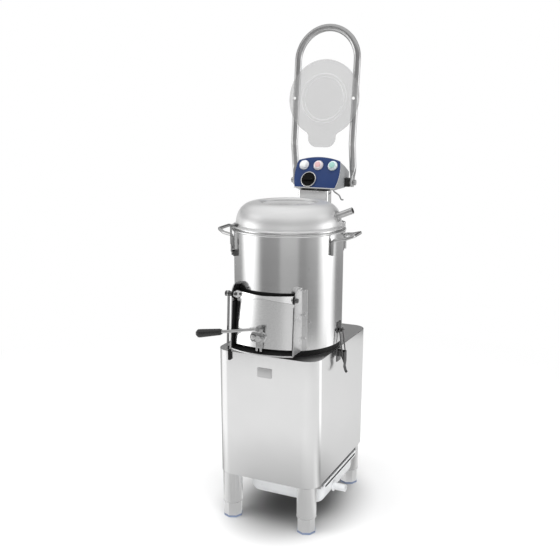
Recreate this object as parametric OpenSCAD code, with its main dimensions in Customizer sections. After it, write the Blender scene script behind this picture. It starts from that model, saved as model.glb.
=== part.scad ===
/* [Cabinet] */
// Width of the cabinet
cab_w = 332; // [300:1:380]
// Depth of the cabinet
cab_d = 440; // [410:1:520]
// Height of the cabinet from its lower edge to its top
cab_h = 401; // [360:1:480]
// Radius of the cabinet's upright corners
cab_corner_r = 45; // [30:1:55]
// Height of the cabinet's lower edge above the floor
cab_clear = 153; // [145:1:200]
// Thickness of the cabinet's wrap sheet
skin_t = 2; // [1.5:0.1:3]
// Distance from the cabinet's front to the drum's axis
drum_setback = 170; // [168:1:186]
// Thickness of the cabinet's top plate
top_plate_t = 3; // [2:0.5:5]
// Thickness of the rear panel
back_panel_t = 2; // [1.5:0.1:3]
// Width of the shell's flat return beside the rear panel
back_lip = 6; // [4:0.5:12]
// Height and width of the base frame's square section
frame_bar = 25; // [20:1:32]
// Diameter of the mains cable gland's body
gland_d = 28; // [24:1:34]
// Diameter of the hole that the mains cable passes through
gland_bore_d = 12; // [8:0.5:16]

/* [Feet] */
// Distance of the feet's axes from the cabinet's sides
foot_inset_x = 39; // [36:1:48]
// Distance of the front feet's axes from the cabinet's front
foot_inset_front = 30; // [30:1:45]
// Distance of the rear feet's axes from the cabinet's back
foot_inset_back = 37; // [30:1:45]
// Diameter of the leg sleeves
sleeve_d = 60; // [56:1:64]
// Wall thickness of the leg sleeves
sleeve_wall = 4; // [3:0.5:6]
// Height of the sleeves' lower ends above the floor
sleeve_low = 50; // [36:1:60]
// Diameter of the foot inserts across their corners
insert_d = 58; // [52:1:60]
// Height of the plastic foot pads
pad_h = 6; // [4:1:10]

/* [Waste basin] */
// Height of the basin's underside above the floor
basin_low = 65; // [60:1:75]
// Height of the basin's slide flange above the floor
basin_flange_z = 134; // [128:1:135]
// Distance from the drum's axis to the basin's left wall
basin_left = 92; // [80:1:96]
// Radius of the basin's corners
basin_r = 30; // [20:1:36]
// Wall thickness of the basin
basin_t = 2.5; // [2:0.5:4]
// Width of the slide flanges
flange_w = 9; // [7:0.5:10]
// Outer diameter of the drain stub
drain_d = 23; // [18:1:30]
// Bore of the drain stub
drain_bore_d = 18; // [12:1:24]
// Length of the drain stub outside the basin
drain_len = 42; // [30:1:60]

/* [Drum] */
// Outer diameter of the drum
drum_d = 330; // [322:1:332]
// Wall thickness of the drum
drum_t = 2; // [1.5:0.1:2.5]
// Height of the drum's wall
drum_h = 345; // [320:1:380]
// Height of the black ring under the drum
base_ring_h = 18; // [12:1:26]
// Diameter of the rolled bead at the drum's rim
rim_bead_d = 8; // [6:0.5:9]
// Thickness of the chamber's floor plate
floor_t = 3; // [2:0.5:5]
// Thickness of the abrasive wall liner
liner_t = 5; // [3:0.5:8]
// Diameter of the abrasive disc
disc_d = 304; // [280:1:306]
// Thickness of the abrasive disc
disc_t = 8; // [6:0.5:9]
// Number of raised waves on the abrasive disc
disc_waves = 6; // [3:1:8]
// Diameter of the waste pipe
waste_d = 40; // [30:1:42]
// Rod diameter of the drum's handles
handle_rod_d = 10; // [7:0.5:11]
// How far the outer bars of the handles stand out from the drum
handle_reach = 47; // [42:1:60]
// Distance between the two feet of a handle
handle_span = 132; // [110:2:140]
// Length of a handle's outer bar
handle_bar = 77; // [60:1:90]
// Angle of the handles from the cabinet's cross axis, in degrees
handle_turn = 5; // [0:1:7]
// Height of the handles' feet on the drum
handle_foot_h = 43; // [34:1:50]
// Depth of the handles' outer bars below the drum's rim
handle_drop = 16; // [10:1:22]

/* [Discharge chute] */
// Half of the width between the chute's outer cheek faces
chute_half_w = 102; // [98:1:105]
// Thickness of the chute's sheet
chute_t = 3; // [2:0.5:4]
// Height of the opening in the drum's wall
window_h = 140; // [120:1:145]
// Height of the opening's lower edge above the drum's lower end
window_low = 20; // [19:0.5:24]
// Radius of the chute's curved lip around the drum's axis
lip_r = 210; // [206:1:216]
// Drop of the chute's floor from the drum to the lip
lip_drop = 16; // [10:1:17]
// Thickness of the door's sheet
door_t = 2.5; // [2:0.1:3]
// Gap between the door's side edges and the chute's cheeks
door_side_gap = 7; // [6.5:0.1:8]
// How far the door's top stands in front of the drum
door_stand = 11; // [10.5:0.5:12]
// Distance behind the drum's axis of the door's centre of curvature
door_curve_back = 50; // [40:1:60]
// How much further the door's lower edge stands out than its top
door_lean = 21; // [16:0.5:23]
// Diameter of the hinge pins
hinge_pin_d = 8; // [6:0.5:10]
// Distance from the drum's axis forward to the hinge pins
hinge_y = 172; // [170:0.5:174]
// Radius of the round lobe at the gasket's upper corner
gasket_lobe_r = 21; // [16:1:25]
// Radius of the rounded upper corners of the chute's cheeks
cheek_arc_r = 27; // [20:1:30]

/* [Door lever] */
// Height of the lever's pivot above the drum's lower end
lever_pivot_h = 46; // [42:1:52]
// Diameter of the lever's pivot bolt
lever_bolt_d = 10; // [8:0.5:12]
// Diameter of the lever's hub
lever_hub_d = 30; // [26:1:34]
// Distance from the hub to the start of the grip
lever_rod_len = 121; // [100:1:126]
// Length of the grip
grip_len = 86; // [70:1:90]
// Largest diameter of the grip
grip_d = 25; // [20:0.5:26]
// Downward slope of the lever's arm at rest, in degrees
lever_slope = 10.5; // [6:0.5:12]

/* [Dome lid] */
// Outer diameter of the dome's rim
dome_d = 318; // [310:1:324]
// Diameter of the dome's crest circle
crest_d = 184; // [178:1:196]
// Height of the dome's crest above the drum's rim
dome_h = 72; // [66:1:78]
// Fullness of the dome's shoulder, where 2 is an ellipse
dome_fullness = 2.4; // [2:0.1:2.8]
// Height of the collar inside the filling opening
collar_h = 26; // [16:1:34]
// Wall thickness of the dome
dome_t = 3; // [2:0.5:4]
// Diameter of the filling opening in the dome
fill_d = 168; // [150:1:176]
// Outer diameter of the water inlet
inlet_d = 19; // [15:0.5:22]
// Bore of the water inlet
inlet_bore_d = 14; // [10:0.5:16]
// Length of the water inlet outside the dome
inlet_len = 52; // [40:1:60]
// Upward slope of the water inlet, in degrees
inlet_slope = 22; // [15:1:30]

/* [Column and control head] */
// Width of the column behind the drum
column_w = 102; // [80:1:110]
// Depth of the column
column_d = 42; // [34:1:50]
// Gap between the drum's wall and the column
column_gap = 13; // [11:0.5:16]
// Wall thickness of the column
column_t = 2; // [1.5:0.1:4]
// Height of the control panel's lower edge above the drum's rim
panel_low = 92; // [87:1:99]
// Distance from the drum's axis back to the control panel's lower edge
panel_y = 192; // [186:1:196]
// Backward tilt of the control panel, in degrees
panel_tilt = 25.9; // [20:0.1:30]
// Height of the control panel along its own plane
panel_len = 107; // [100:1:112]
// Largest width of the control panel
panel_w = 155; // [145:1:157]
// Thickness of the control panel
panel_t = 4; // [3:0.5:6]
// Distance from the drum's axis back to the head casing's rear
head_back = 304; // [300:1:312]
// Wall thickness of the head casing
head_t = 3; // [2:0.5:4]
// Diameter of the push buttons
button_d = 31; // [26:0.5:34]
// Spacing of the push buttons
button_pitch = 49; // [44:1:52]
// Height of the push buttons above the panel
button_h = 10; // [8:0.5:14]
// Outer diameter of the timer's ring
timer_ring_d = 52; // [46:1:54]
// Diameter of the timer knob
timer_knob_d = 42; // [36:1:44]

/* [Guard arch and lid] */
// Height of the guard's pivots above the drum's rim
guard_pivot_h = 109; // [107:0.5:113]
// Distance from the drum's axis back to the guard's pivots
guard_pivot_y = 270; // [266:1:274]
// Diameter of the guard's tube
guard_tube_d = 22; // [18:0.5:24]
// Distance between the centre lines of the guard's legs
guard_w = 200; // [196:1:220]
// Length of the guard from its pivots to its top centre line
guard_len = 475; // [440:1:500]
// Backward lean of the open guard, in degrees
guard_lean = 6.3; // [3:0.1:10]
// Diameter of the guard's pivot bolts
guard_bolt_d = 10; // [8:0.5:12]
// Diameter of the lid disc
lid_d = 238; // [220:1:244]
// Thickness of the lid disc
lid_t = 3.5; // [3:0.5:4]
// Distance from the guard's pivots to the lid disc's centre
lid_reach = 258; // [250:1:266]
// Distance from the lid disc's centre to the end of its tab
lid_tab_reach = 152; // [140:1:156]

/* [Drive] */
// Diameter of the main shaft
shaft_d = 25; // [20:1:30]
// Outer diameter of the shaft's bearings
bearing_d = 52; // [47:1:62]
// Width of a bearing
bearing_w = 15; // [12:1:17]
// Diameter of the driven pulley
driven_d = 180; // [160:1:182]
// Diameter of the motor pulley
driver_d = 60; // [50:1:70]
// Width of the drive belt
belt_w = 16; // [12:1:18]
// Thickness of the drive belt
belt_t = 4; // [3:0.5:5]
// Distance between the drum's axis and the motor's axis
motor_pitch = 150; // [146:1:156]
// Diameter of the motor's body
motor_d = 136; // [120:1:144]
// Length of the motor's body
motor_h = 190; // [160:1:210]

/* [Toggle latches] */
// Width of a toggle latch
latch_w = 30; // [26:1:34]
// Wire diameter of a latch's bail
bail_wire_d = 4; // [3:0.5:5]
// Distance of the side latches behind the drum's axis
latch_y = 4; // [0:1:8]
// Angle of the lid clips from the cabinet's cross axis, in degrees
clip_angle = 42; // [40:0.5:46]
// Width of a lid clip
clip_w = 22; // [18:1:24]

/* [Clearances] */
// Gap between parts that move past each other
move_gap = 0.5; // [0.4:0.05:0.8]
// Radial clearance of a pin or shaft in its bore
run_gap = 0.06; // [0.03:0.01:0.09]

/* [Hidden] */
$fn = 96;
// Facets around the round children of a hull
hull_fn = 32;
// How far a cutting shape passes beyond what it cuts
over = 1;
// Facets of a wide round cut, whose mesh would otherwise stand off the true curve
wide_fn = 360;
// Straight steps in the dome's curve
dome_steps = 16;
// Radius of a bent rod's knuckles, as a share of the rod's own
knuckle = 1.03;

// Gap between fixed parts that lie against each other
side_gap = 0.3;

// Cabinet levels and faces, around the drum's upright axis
cab_top = cab_clear + cab_h;
cab_front = -drum_setback;
cab_back = cab_d - drum_setback;
back_panel_w = cab_w - 2 * (cab_corner_r + back_lip);
foot_x = cab_w / 2 - foot_inset_x;
foot_front_y = cab_front + foot_inset_front;
foot_back_y = cab_back - foot_inset_back;
gusset_t = 4;

// Drum levels
drum_r = drum_d / 2;
drum_low = cab_top + base_ring_h;
drum_top = drum_low + drum_h;
crest_z = drum_top + dome_h;
liner_r = drum_r - drum_t - liner_t;

// Shaft line, from the pulley up to the disc
housing_wall = 11.5;
housing_flange_w = 27.5;
housing_d = bearing_d + 2 * housing_wall;
housing_flange_d = housing_d + 2 * housing_flange_w;
housing_flange_t = 8;
housing_drop = 86;
housing_low = cab_top - housing_drop;
housing_rise = 3;
housing_top = drum_low + floor_t + housing_rise;
bearing_drop = 58;
upper_seat = housing_top - bearing_drop;
lower_seat = housing_low + 2;
seal_t = 10;
seal_drop = 6;
disc_gap = 2;
disc_low = housing_top + disc_gap;
hub_rise = 4;
hub_top = disc_low + disc_t + hub_rise;
nut_h = 14;
shaft_rise = 8;
shaft_top = hub_top + shaft_rise;
pulley_gap = 6;
pulley_top = housing_low - pulley_gap;
pulley_rim_h = 3;
pulley_h = belt_w + 2 * pulley_rim_h;
pulley_low = pulley_top - pulley_h;
motor_shaft_d = 19;
motor_gap = 12;
motor_top = pulley_low - motor_gap;
motor_flange_t = 8;
motor_low = motor_top - motor_flange_t - motor_h;
bracket_t = 4;

// Waste outlet beside the bearing housing
waste_wall = 2;
waste_at = 118;
waste_angle = -20;
waste_low = cab_clear - 3;

// Basin between the feet and its slide rails
basin_front = foot_front_y + sleeve_d / 2 + 5 + flange_w;
basin_back = foot_back_y - sleeve_d / 2 - 5 - flange_w;
basin_right = cab_w / 2 - 8;
flange_t = 2;
drain_y = 5;
drain_z = basin_low + 26;

// Chute and door
hinge_z = drum_low + window_low + window_h;
cheek_in = chute_half_w - chute_t;
chute_top_z = drum_low + lip_drop;
cheek_arc_z = hinge_z + 3;
bead_r = 2;
mat_t = 1.5;
mat_sunk = mat_t + side_gap;
frame_t = 1.5;
lining_t = 3;
door_half_w = cheek_in - door_side_gap;
door_high_z = hinge_z + 1;
door_low_z = drum_low + 14;
door_top_r = door_curve_back + drum_r + door_stand;
strap_t = 4;
ear_t = 3;
ear_r = 9;
washer_r = 12;
stay_x = chute_half_w + 10;
stay_t = 4;

// Door lever, in front of the door
lever_z = drum_low + lever_pivot_h;
face_y = door_radius(lever_z) - door_curve_back;
boss_y = face_y + 4;
hub_back_y = boss_y + move_gap;
hub_front_y = boss_y + 10;
arm_y = hub_front_y + 2.6;
arm_z = lever_z + 28;

// Column and control head
column_front = drum_r + column_gap;
panel_z = drum_top + panel_low;
head_low = panel_z - 5;
head_half_w = panel_w / 2 + 0.5;
head_corner_r = 6;
button_row = 29;

// Guard
guard_z = drum_top + guard_pivot_h;
guard_half = guard_w / 2;
guard_tube_r = guard_tube_d / 2;
guard_offset = guard_z - crest_z - lid_t - guard_tube_r - move_gap;
guard_end_t = 8;
guard_end_r = 15;
block_w = 27;
block_outer = guard_half - guard_end_t / 2 - 2;
block_back = 10;

// Latches
latch_pin_d = 4;
latch_pin_z = cab_top - 13;
latch_pin = [cab_w / 2 + 10, latch_pin_z];
bail_reach = 8;
bail_pin = latch_pin + [bail_reach, -bail_reach];
bail_r = bail_wire_d / 2;
sheet_t = 2;
bail_y = latch_w / 2 - bail_r;
latch_wall_out = bail_y - bail_r - move_gap;
latch_ear_out = latch_wall_out - sheet_t - move_gap;
bail_top = [drum_r + 8, latch_pin_z + 72.3];
clip_pin_x = drum_r + 6.5;
clip_pin_z = drum_top - 75;
clip_out_x = drum_r + rim_bead_d + 3.5;

// The whole machine stands with its box centred on the origin
frame_front = arm_y + grip_d / 2;
frame_rear = guard_pivot_y + guard_len * sin(guard_lean) - guard_offset * cos(guard_lean) + guard_tube_r;
frame_mid_y = (frame_rear - frame_front) / 2;

// Radius of the door's outer face around its own axis, at height z
function door_radius(z) = door_top_r + door_lean * (door_high_z - z) / (door_high_z - door_low_z);
// Height of the lining on the chute's floor at distance r from the drum's axis
function chute_z(r) = chute_top_z - lip_drop * (r - drum_r) / (lip_r - drum_r);
// A point of the dome's curve, which rises from the rim at 0 to the crest at 90
function dome_point(t, inset) = [
    crest_d / 2 + (dome_d / 2 - crest_d / 2 - inset) * pow(cos(t), 2 / dome_fullness),
    drum_top + (dome_h - inset) * pow(sin(t), 2 / dome_fullness)];

module in_frame() {
    translate([0, -frame_mid_y, 0]) children();
}

module both_sides() {
    children();
    mirror([1, 0, 0]) children();
}

// A straight round bar from one point to another
module rod(from, to, r) {
    run = to - from;
    translate(from)
        rotate([0, acos(run.z / norm(run)), atan2(run.y, run.x)])
            cylinder(h = norm(run), r = r);
}

// A round bar between two flat ends, with a round knuckle at each turn
module bent_rod(points, r) {
    for (i = [1 : len(points) - 1]) rod(points[i - 1], points[i], r);
    for (i = [1 : len(points) - 2]) translate(points[i]) sphere(r = r * knuckle);
}

module ring(r_in, r_out, h) {
    difference() {
        cylinder(h = h, r = r_out);
        translate([0, 0, -over]) cylinder(h = h + 2 * over, r = r_in);
    }
}

module rounded_rect(low, high, r) {
    translate([low.x + r, low.y]) square([high.x - low.x - 2 * r, high.y - low.y]);
    translate([low.x, low.y + r]) square([high.x - low.x, high.y - low.y - 2 * r]);
    for (x = [low.x + r, high.x - r], y = [low.y + r, high.y - r])
        translate([x, y]) circle(r = r);
}

module box(low, high) {
    translate(low) cube(high - low);
}

// An outline in Y and Z, made t thick along +X from x
module side_plate(x, t) {
    translate([x, 0, 0]) rotate([90, 0, 90]) linear_extrude(t) children();
}

// An outline in X and Z, made t thick forwards from y
module front_plate(y, t) {
    translate([0, y, 0]) rotate([90, 0, 0]) linear_extrude(t) children();
}

// A cylinder along X, centred on y and z
module x_cylinder(x_low, x_high, y, z, r) {
    translate([x_low, y, z]) rotate([0, 90, 0]) cylinder(h = x_high - x_low, r = r);
}

// A cylinder along Y, centred on x and z
module y_cylinder(y_low, y_high, x, z, r) {
    translate([x, y_high, z]) rotate([90, 0, 0]) cylinder(h = y_high - y_low, r = r);
}

module cabinet_plan(inset) {
    rounded_rect([-cab_w / 2 + inset, cab_front + inset], [cab_w / 2 - inset, cab_back - inset],
        max(cab_corner_r - inset, over));
}

module at_feet() {
    for (x = [-foot_x, foot_x], y = [foot_front_y, foot_back_y]) translate([x, y, 0]) children();
}

module at_waste() {
    rotate([0, 0, waste_angle]) translate([waste_at, 0, 0]) children();
}

module cabinet_shell() {
    color("gainsboro") translate([0, 0, cab_clear]) linear_extrude(cab_h)
        difference() {
            cabinet_plan(0);
            cabinet_plan(skin_t);
            translate([-back_panel_w / 2, cab_back - skin_t - over])
                square([back_panel_w, skin_t + 2 * over]);
        }
}

module back_panel() {
    slot = [46, 5];
    slot_pitch = [62, 13];
    slot_round = 2.4;
    slot_high = cab_top - 60;
    half_w = back_panel_w / 2 - side_gap;
    color("silver") difference() {
        box([-half_w, cab_back - back_panel_t, cab_clear], [half_w, cab_back, cab_top]);
        for (column_n = [-1 : 1], row = [0 : 7])
            front_plate(cab_back + over, back_panel_t + 2 * over)
                translate([column_n * slot_pitch.x - slot.x / 2, slot_high - row * slot_pitch.y])
                    rounded_rect([0, 0], slot, slot_round);
        at_gland() translate([0, 0, -over - back_panel_t])
            cylinder(h = back_panel_t + 2 * over, d = gland_bore_d + 8);
    }
}

// Runs its children along the gland's own axis, out of the rear panel
module at_gland() {
    gland_at = [-70, 82];
    translate([gland_at.x, cab_back, cab_clear + gland_at.y]) rotate([-90, 0, 0]) children();
}

module cable_gland() {
    hex_h = 8;
    body_h = 22;
    thread_d = gland_bore_d + 8;
    lock_nut_h = 5;
    color("dimgray") at_gland() difference() {
        union() {
            cylinder(h = hex_h, d = gland_d, $fn = 6);
            cylinder(h = body_h - 3, d = gland_d - 6);
            translate([0, 0, body_h - 3]) cylinder(h = 3, d1 = gland_d - 6, d2 = gland_d - 11);
            translate([0, 0, -back_panel_t - lock_nut_h]) cylinder(h = body_h, d = thread_d);
            translate([0, 0, -back_panel_t - lock_nut_h])
                cylinder(h = lock_nut_h, d = gland_d, $fn = 6);
        }
        translate([0, 0, -body_h]) cylinder(h = 3 * body_h, d = gland_bore_d);
    }
}

module top_plate() {
    cable_hole_d = 24;
    color("lightgray") translate([0, 0, cab_top - top_plate_t]) linear_extrude(top_plate_t)
        difference() {
            cabinet_plan(skin_t);
            circle(d = housing_d);
            at_waste() circle(d = waste_d + 1);
            translate([0, column_front + column_d / 2]) circle(d = cable_hole_d);
        }
}

module base_frame() {
    gusset_w = 70;
    rail_t = 2;
    rail_lip_t = 2.5;
    rail_x = [-basin_left - 8, basin_right + 2];
    bridge_x = foot_x - sleeve_d / 2 - 2;
    lip_top = basin_flange_z - move_gap;
    web_gap = 2;
    front_web = basin_front - flange_w - web_gap;
    back_web = basin_back + flange_w + web_gap;
    bridge_z = cab_clear - 3;
    color("darkgray") {
        translate([0, 0, cab_clear]) linear_extrude(frame_bar) difference() {
            cabinet_plan(skin_t);
            cabinet_plan(skin_t + frame_bar);
        }
        translate([0, 0, cab_clear]) linear_extrude(gusset_t) intersection() {
            cabinet_plan(skin_t + over);
            at_feet() square(gusset_w, center = true);
        }
        box([rail_x[0], front_web - rail_t, lip_top - rail_lip_t], [rail_x[1], front_web, cab_clear]);
        box([rail_x[0], front_web - rail_t, lip_top - rail_lip_t],
            [rail_x[1], front_web + flange_w + web_gap - 1, lip_top]);
        box([-bridge_x, cab_front + frame_bar - 5, bridge_z], [bridge_x, front_web, cab_clear]);
        box([rail_x[0], back_web, lip_top - rail_lip_t], [rail_x[1], back_web + rail_t, cab_clear]);
        box([rail_x[0], back_web - flange_w - web_gap + 1, lip_top - rail_lip_t],
            [rail_x[1], back_web + rail_t, lip_top]);
        box([-bridge_x, back_web, bridge_z], [bridge_x, cab_back - frame_bar + 5, cab_clear]);
    }
}

module leg_sleeves() {
    color("silver") at_feet() difference() {
        translate([0, 0, sleeve_low]) cylinder(h = cab_clear - sleeve_low, d = sleeve_d);
        translate([0, 0, sleeve_low - over])
            cylinder(h = cab_clear - sleeve_low - sleeve_wall + over, d = sleeve_d - 2 * sleeve_wall);
    }
}

module foot_inserts() {
    stem_h = 60;
    stem_gap = 0.3;
    color("gray") at_feet() {
        translate([0, 0, pad_h]) cylinder(h = sleeve_low - pad_h, d = insert_d, $fn = 8);
        translate([0, 0, sleeve_low])
            cylinder(h = stem_h, d = sleeve_d - 2 * sleeve_wall - 2 * stem_gap);
    }
}

module foot_pads() {
    color("lightblue") at_feet() cylinder(h = pad_h, d = insert_d + 2, $fn = 8);
}

// The basin's outer or inner form, rounded below and open above
module basin_form(inset, top) {
    r = basin_r - inset;
    hull() for (x = [-basin_left + basin_r, basin_right - basin_r],
        y = [basin_front + basin_r, basin_back - basin_r]) {
        translate([x, y, basin_low + basin_r]) {
            sphere(r = r, $fn = hull_fn);
            cylinder(h = top - basin_low - basin_r, r = r, $fn = hull_fn);
        }
    }
}

module waste_basin() {
    rim_z = basin_flange_z + flange_t;
    band_h = 18;
    band_x = cab_w / 2 - 2;
    color("gainsboro") {
        difference() {
            union() {
                basin_form(0, basin_flange_z + over);
                box([-basin_left, basin_front - flange_w, basin_flange_z],
                    [band_x + over, basin_back + flange_w, rim_z]);
            }
            basin_form(basin_t, rim_z + over);
            x_cylinder(basin_right - basin_r, basin_right + over, drain_y, drain_z, drain_d / 2);
        }
        box([band_x, basin_front + 2, rim_z - band_h + 5], [band_x + 2, basin_back - 2, rim_z + 5]);
    }
}

module drain_stub() {
    nut_t = 4;
    root = 14;
    color("gainsboro") difference() {
        union() {
            x_cylinder(basin_right - root, basin_right + drain_len, drain_y, drain_z, drain_d / 2);
            x_cylinder(basin_right, basin_right + nut_t, drain_y, drain_z, drain_d / 2 + 5);
        }
        x_cylinder(basin_right - root - over, basin_right + drain_len + over, drain_y, drain_z,
            drain_bore_d / 2);
    }
}

module waste_pipe() {
    flange_h = 2;
    bore_r = waste_d / 2 - waste_wall;
    color("gray") at_waste() {
        translate([0, 0, waste_low]) ring(bore_r, waste_d / 2, drum_low - waste_low);
        translate([0, 0, drum_low - flange_h]) ring(bore_r, waste_d / 2 + waste_wall, flange_h);
    }
}

module base_ring() {
    ring_out = drum_r - 5;
    ring_wall = 12;
    color([0.08, 0.08, 0.09]) translate([0, 0, cab_top])
        ring(ring_out - ring_wall, ring_out, base_ring_h);
}

module drum_shell() {
    bead_drop = 8;
    window_half_w = cheek_in - 4;
    color("silver") difference() {
        union() {
            translate([0, 0, drum_low]) ring(drum_r - drum_t, drum_r, drum_h);
            translate([0, 0, drum_top - bead_drop]) rotate_extrude()
                translate([drum_r + rim_bead_d / 2 - 0.5, 0]) circle(d = rim_bead_d);
        }
        box([-window_half_w, -drum_r - over, drum_low + window_low], [window_half_w, 0, hinge_z]);
    }
}

module chamber_floor() {
    color("silver") translate([0, 0, drum_low]) linear_extrude(floor_t) difference() {
        circle(r = drum_r - drum_t);
        circle(d = housing_d);
        at_waste() circle(d = waste_d - 2 * waste_wall);
    }
}

module abrasive_liner() {
    liner_low = drum_low + 28;
    liner_high = drum_top - 27;
    window_half_w = cheek_in - 2;
    color("dimgray") difference() {
        translate([0, 0, liner_low]) ring(liner_r, drum_r - drum_t, liner_high - liner_low);
        box([-window_half_w, -drum_r, liner_low - over], [window_half_w, 0, hinge_z + 5]);
    }
}

module abrasive_disc() {
    wave_r = 10;
    wave_from = 34;
    color("dimgray") difference() {
        union() {
            translate([0, 0, disc_low]) cylinder(h = disc_t, d = disc_d);
            translate([0, 0, disc_low]) cylinder(h = hub_top - disc_low, r = wave_from + 2);
            for (i = [0 : disc_waves - 1]) rotate([0, 0, i * 360 / disc_waves]) difference() {
                x_cylinder(wave_from, disc_d / 2 - 3, 0, disc_low + disc_t / 2, wave_r);
                box([0, -wave_r - over, disc_low - wave_r], [disc_d / 2, wave_r + over, disc_low]);
            }
        }
        translate([0, 0, disc_low - over]) cylinder(h = hub_top, d = shaft_d);
    }
}

module disc_nut() {
    color("silver") translate([0, 0, hub_top]) difference() {
        union() {
            cylinder(h = nut_h - 4, d = shaft_d + 17, $fn = 6);
            translate([0, 0, nut_h - 4]) cylinder(h = 4, d1 = shaft_d + 9, d2 = shaft_d - 3);
        }
        translate([0, 0, -over]) cylinder(h = shaft_top - hub_top + over, d = shaft_d);
    }
}

module main_shaft() {
    shaft_low = pulley_low - 4;
    color("silver") translate([0, 0, shaft_low]) cylinder(h = shaft_top - shaft_low, d = shaft_d);
}

// A flat-belt pulley with two flanges, its bore along Z
module pulley(d, bore_d, holes) {
    flange_r = d / 2 + 3;
    flange_h = pulley_rim_h - move_gap;
    hole_at = (d + bore_d) / 4 + 4;
    difference() {
        union() {
            cylinder(h = pulley_h, d = d);
            cylinder(h = flange_h, r = flange_r);
            translate([0, 0, pulley_h - flange_h]) cylinder(h = flange_h, r = flange_r);
        }
        translate([0, 0, -over]) cylinder(h = pulley_h + 2 * over, d = bore_d);
        for (i = [0 : 1 : holes - 1]) rotate([0, 0, i * 360 / holes])
            translate([hole_at, 0, -over]) cylinder(h = pulley_h + 2 * over, d = d / 5);
    }
}

module driven_pulley() {
    color("gray") translate([0, 0, pulley_low]) pulley(driven_d, shaft_d, 5);
}

module bearing_housing() {
    seat_wall = 4;
    lower_depth = lower_seat + bearing_w - housing_low;
    color("darkgray") difference() {
        union() {
            translate([0, 0, housing_low]) cylinder(h = housing_top - housing_low, d = housing_d);
            translate([0, 0, cab_top - top_plate_t - housing_flange_t])
                cylinder(h = housing_flange_t, d = housing_flange_d);
        }
        translate([0, 0, housing_low - over])
            cylinder(h = housing_top - housing_low + 2 * over, d = bearing_d - 2 * seat_wall);
        translate([0, 0, housing_low - over]) cylinder(h = lower_depth + over, d = bearing_d);
        translate([0, 0, upper_seat]) cylinder(h = housing_top - upper_seat + over, d = bearing_d);
    }
}

module main_bearings() {
    color("silver") for (z = [lower_seat, upper_seat])
        translate([0, 0, z]) ring(shaft_d / 2 + run_gap, bearing_d / 2, bearing_w);
}

module shaft_seal() {
    color("black") translate([0, 0, housing_top - seal_t - seal_drop])
        ring(shaft_d / 2 + run_gap, bearing_d / 2, seal_t);
}

module at_motor() {
    translate([0, motor_pitch, 0]) children();
}

module motor_body() {
    fins = 24;
    fin_h = 6;
    fin_t = 3;
    cap_h = 32;
    shaft_hole = 60;
    flange_w = 116;
    lead_box = [14, 56];
    lead_box_z = [motor_low + 70, motor_low + 140];
    color("steelblue") at_motor() difference() {
        union() {
            translate([0, 0, motor_low]) cylinder(h = cap_h, d = motor_d);
            translate([0, 0, motor_low]) cylinder(h = motor_h, d = motor_d - 2 * fin_h);
            for (i = [0 : fins - 1]) rotate([0, 0, i * 360 / fins])
                box([0, -fin_t / 2, motor_low + cap_h], [motor_d / 2, fin_t / 2, motor_low + motor_h]);
            box([-motor_d / 2 - lead_box[0], -lead_box[1] / 2, lead_box_z[0]],
                [0, lead_box[1] / 2, lead_box_z[1]]);
            translate([-flange_w / 2, -flange_w / 2, motor_top - motor_flange_t])
                cube([flange_w, flange_w, motor_flange_t]);
        }
        translate([0, 0, motor_top - shaft_hole])
            cylinder(h = shaft_hole + over, d = motor_shaft_d + 2 * run_gap);
    }
}

module motor_bracket() {
    half_w = 80;
    span_y = [-60, 85];
    hole_d = 50;
    color("gray") at_motor() difference() {
        union() {
            box([-half_w, span_y[0], motor_top], [half_w, span_y[1], motor_top + bracket_t]);
            both_sides() box([half_w - bracket_t, span_y[0], motor_top],
                [half_w, span_y[1], cab_top - top_plate_t]);
        }
        translate([0, 0, motor_top - over]) cylinder(h = bracket_t + 2 * over, d = hole_d);
    }
}

module motor_pulley() {
    shaft_root = 40;
    color("gray") at_motor() {
        translate([0, 0, pulley_low]) pulley(driver_d, motor_shaft_d, 0);
        translate([0, 0, motor_top - shaft_root])
            cylinder(h = pulley_top - motor_top + shaft_root, d = motor_shaft_d);
    }
}

// The belt's path at a distance outside both pulleys
module belt_outline(grow) {
    a = driven_d / 2 + grow;
    b = driver_d / 2 + grow;
    lean = asin((a - b) / motor_pitch);
    circle(r = a);
    translate([0, motor_pitch]) circle(r = b);
    polygon([[a * cos(lean), a * sin(lean)], [b * cos(lean), motor_pitch + b * sin(lean)],
        [-b * cos(lean), motor_pitch + b * sin(lean)], [-a * cos(lean), a * sin(lean)]]);
}

module drive_belt() {
    color("black") translate([0, 0, pulley_low + (pulley_h - belt_w) / 2]) linear_extrude(belt_w)
        difference() {
            belt_outline(side_gap + belt_t);
            belt_outline(side_gap);
        }
}

module cheek_outline() {
    top_back = -drum_r + 45;
    foot_y = -hinge_y - 18;
    polygon([[top_back, drum_low + 1], [foot_y, drum_low + 1], [-hinge_y - 5, cheek_arc_z],
        [top_back, cheek_arc_z]]);
    translate([-hinge_y - 5 + cheek_arc_r, cheek_arc_z]) circle(r = cheek_arc_r);
    translate([-hinge_y - 5 + cheek_arc_r, cheek_arc_z])
        square([top_back + hinge_y + 5 - cheek_arc_r, cheek_arc_r]);
}

module drum_solid() {
    cylinder(h = drum_top, r = drum_r, $fn = wide_fn);
}

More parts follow.
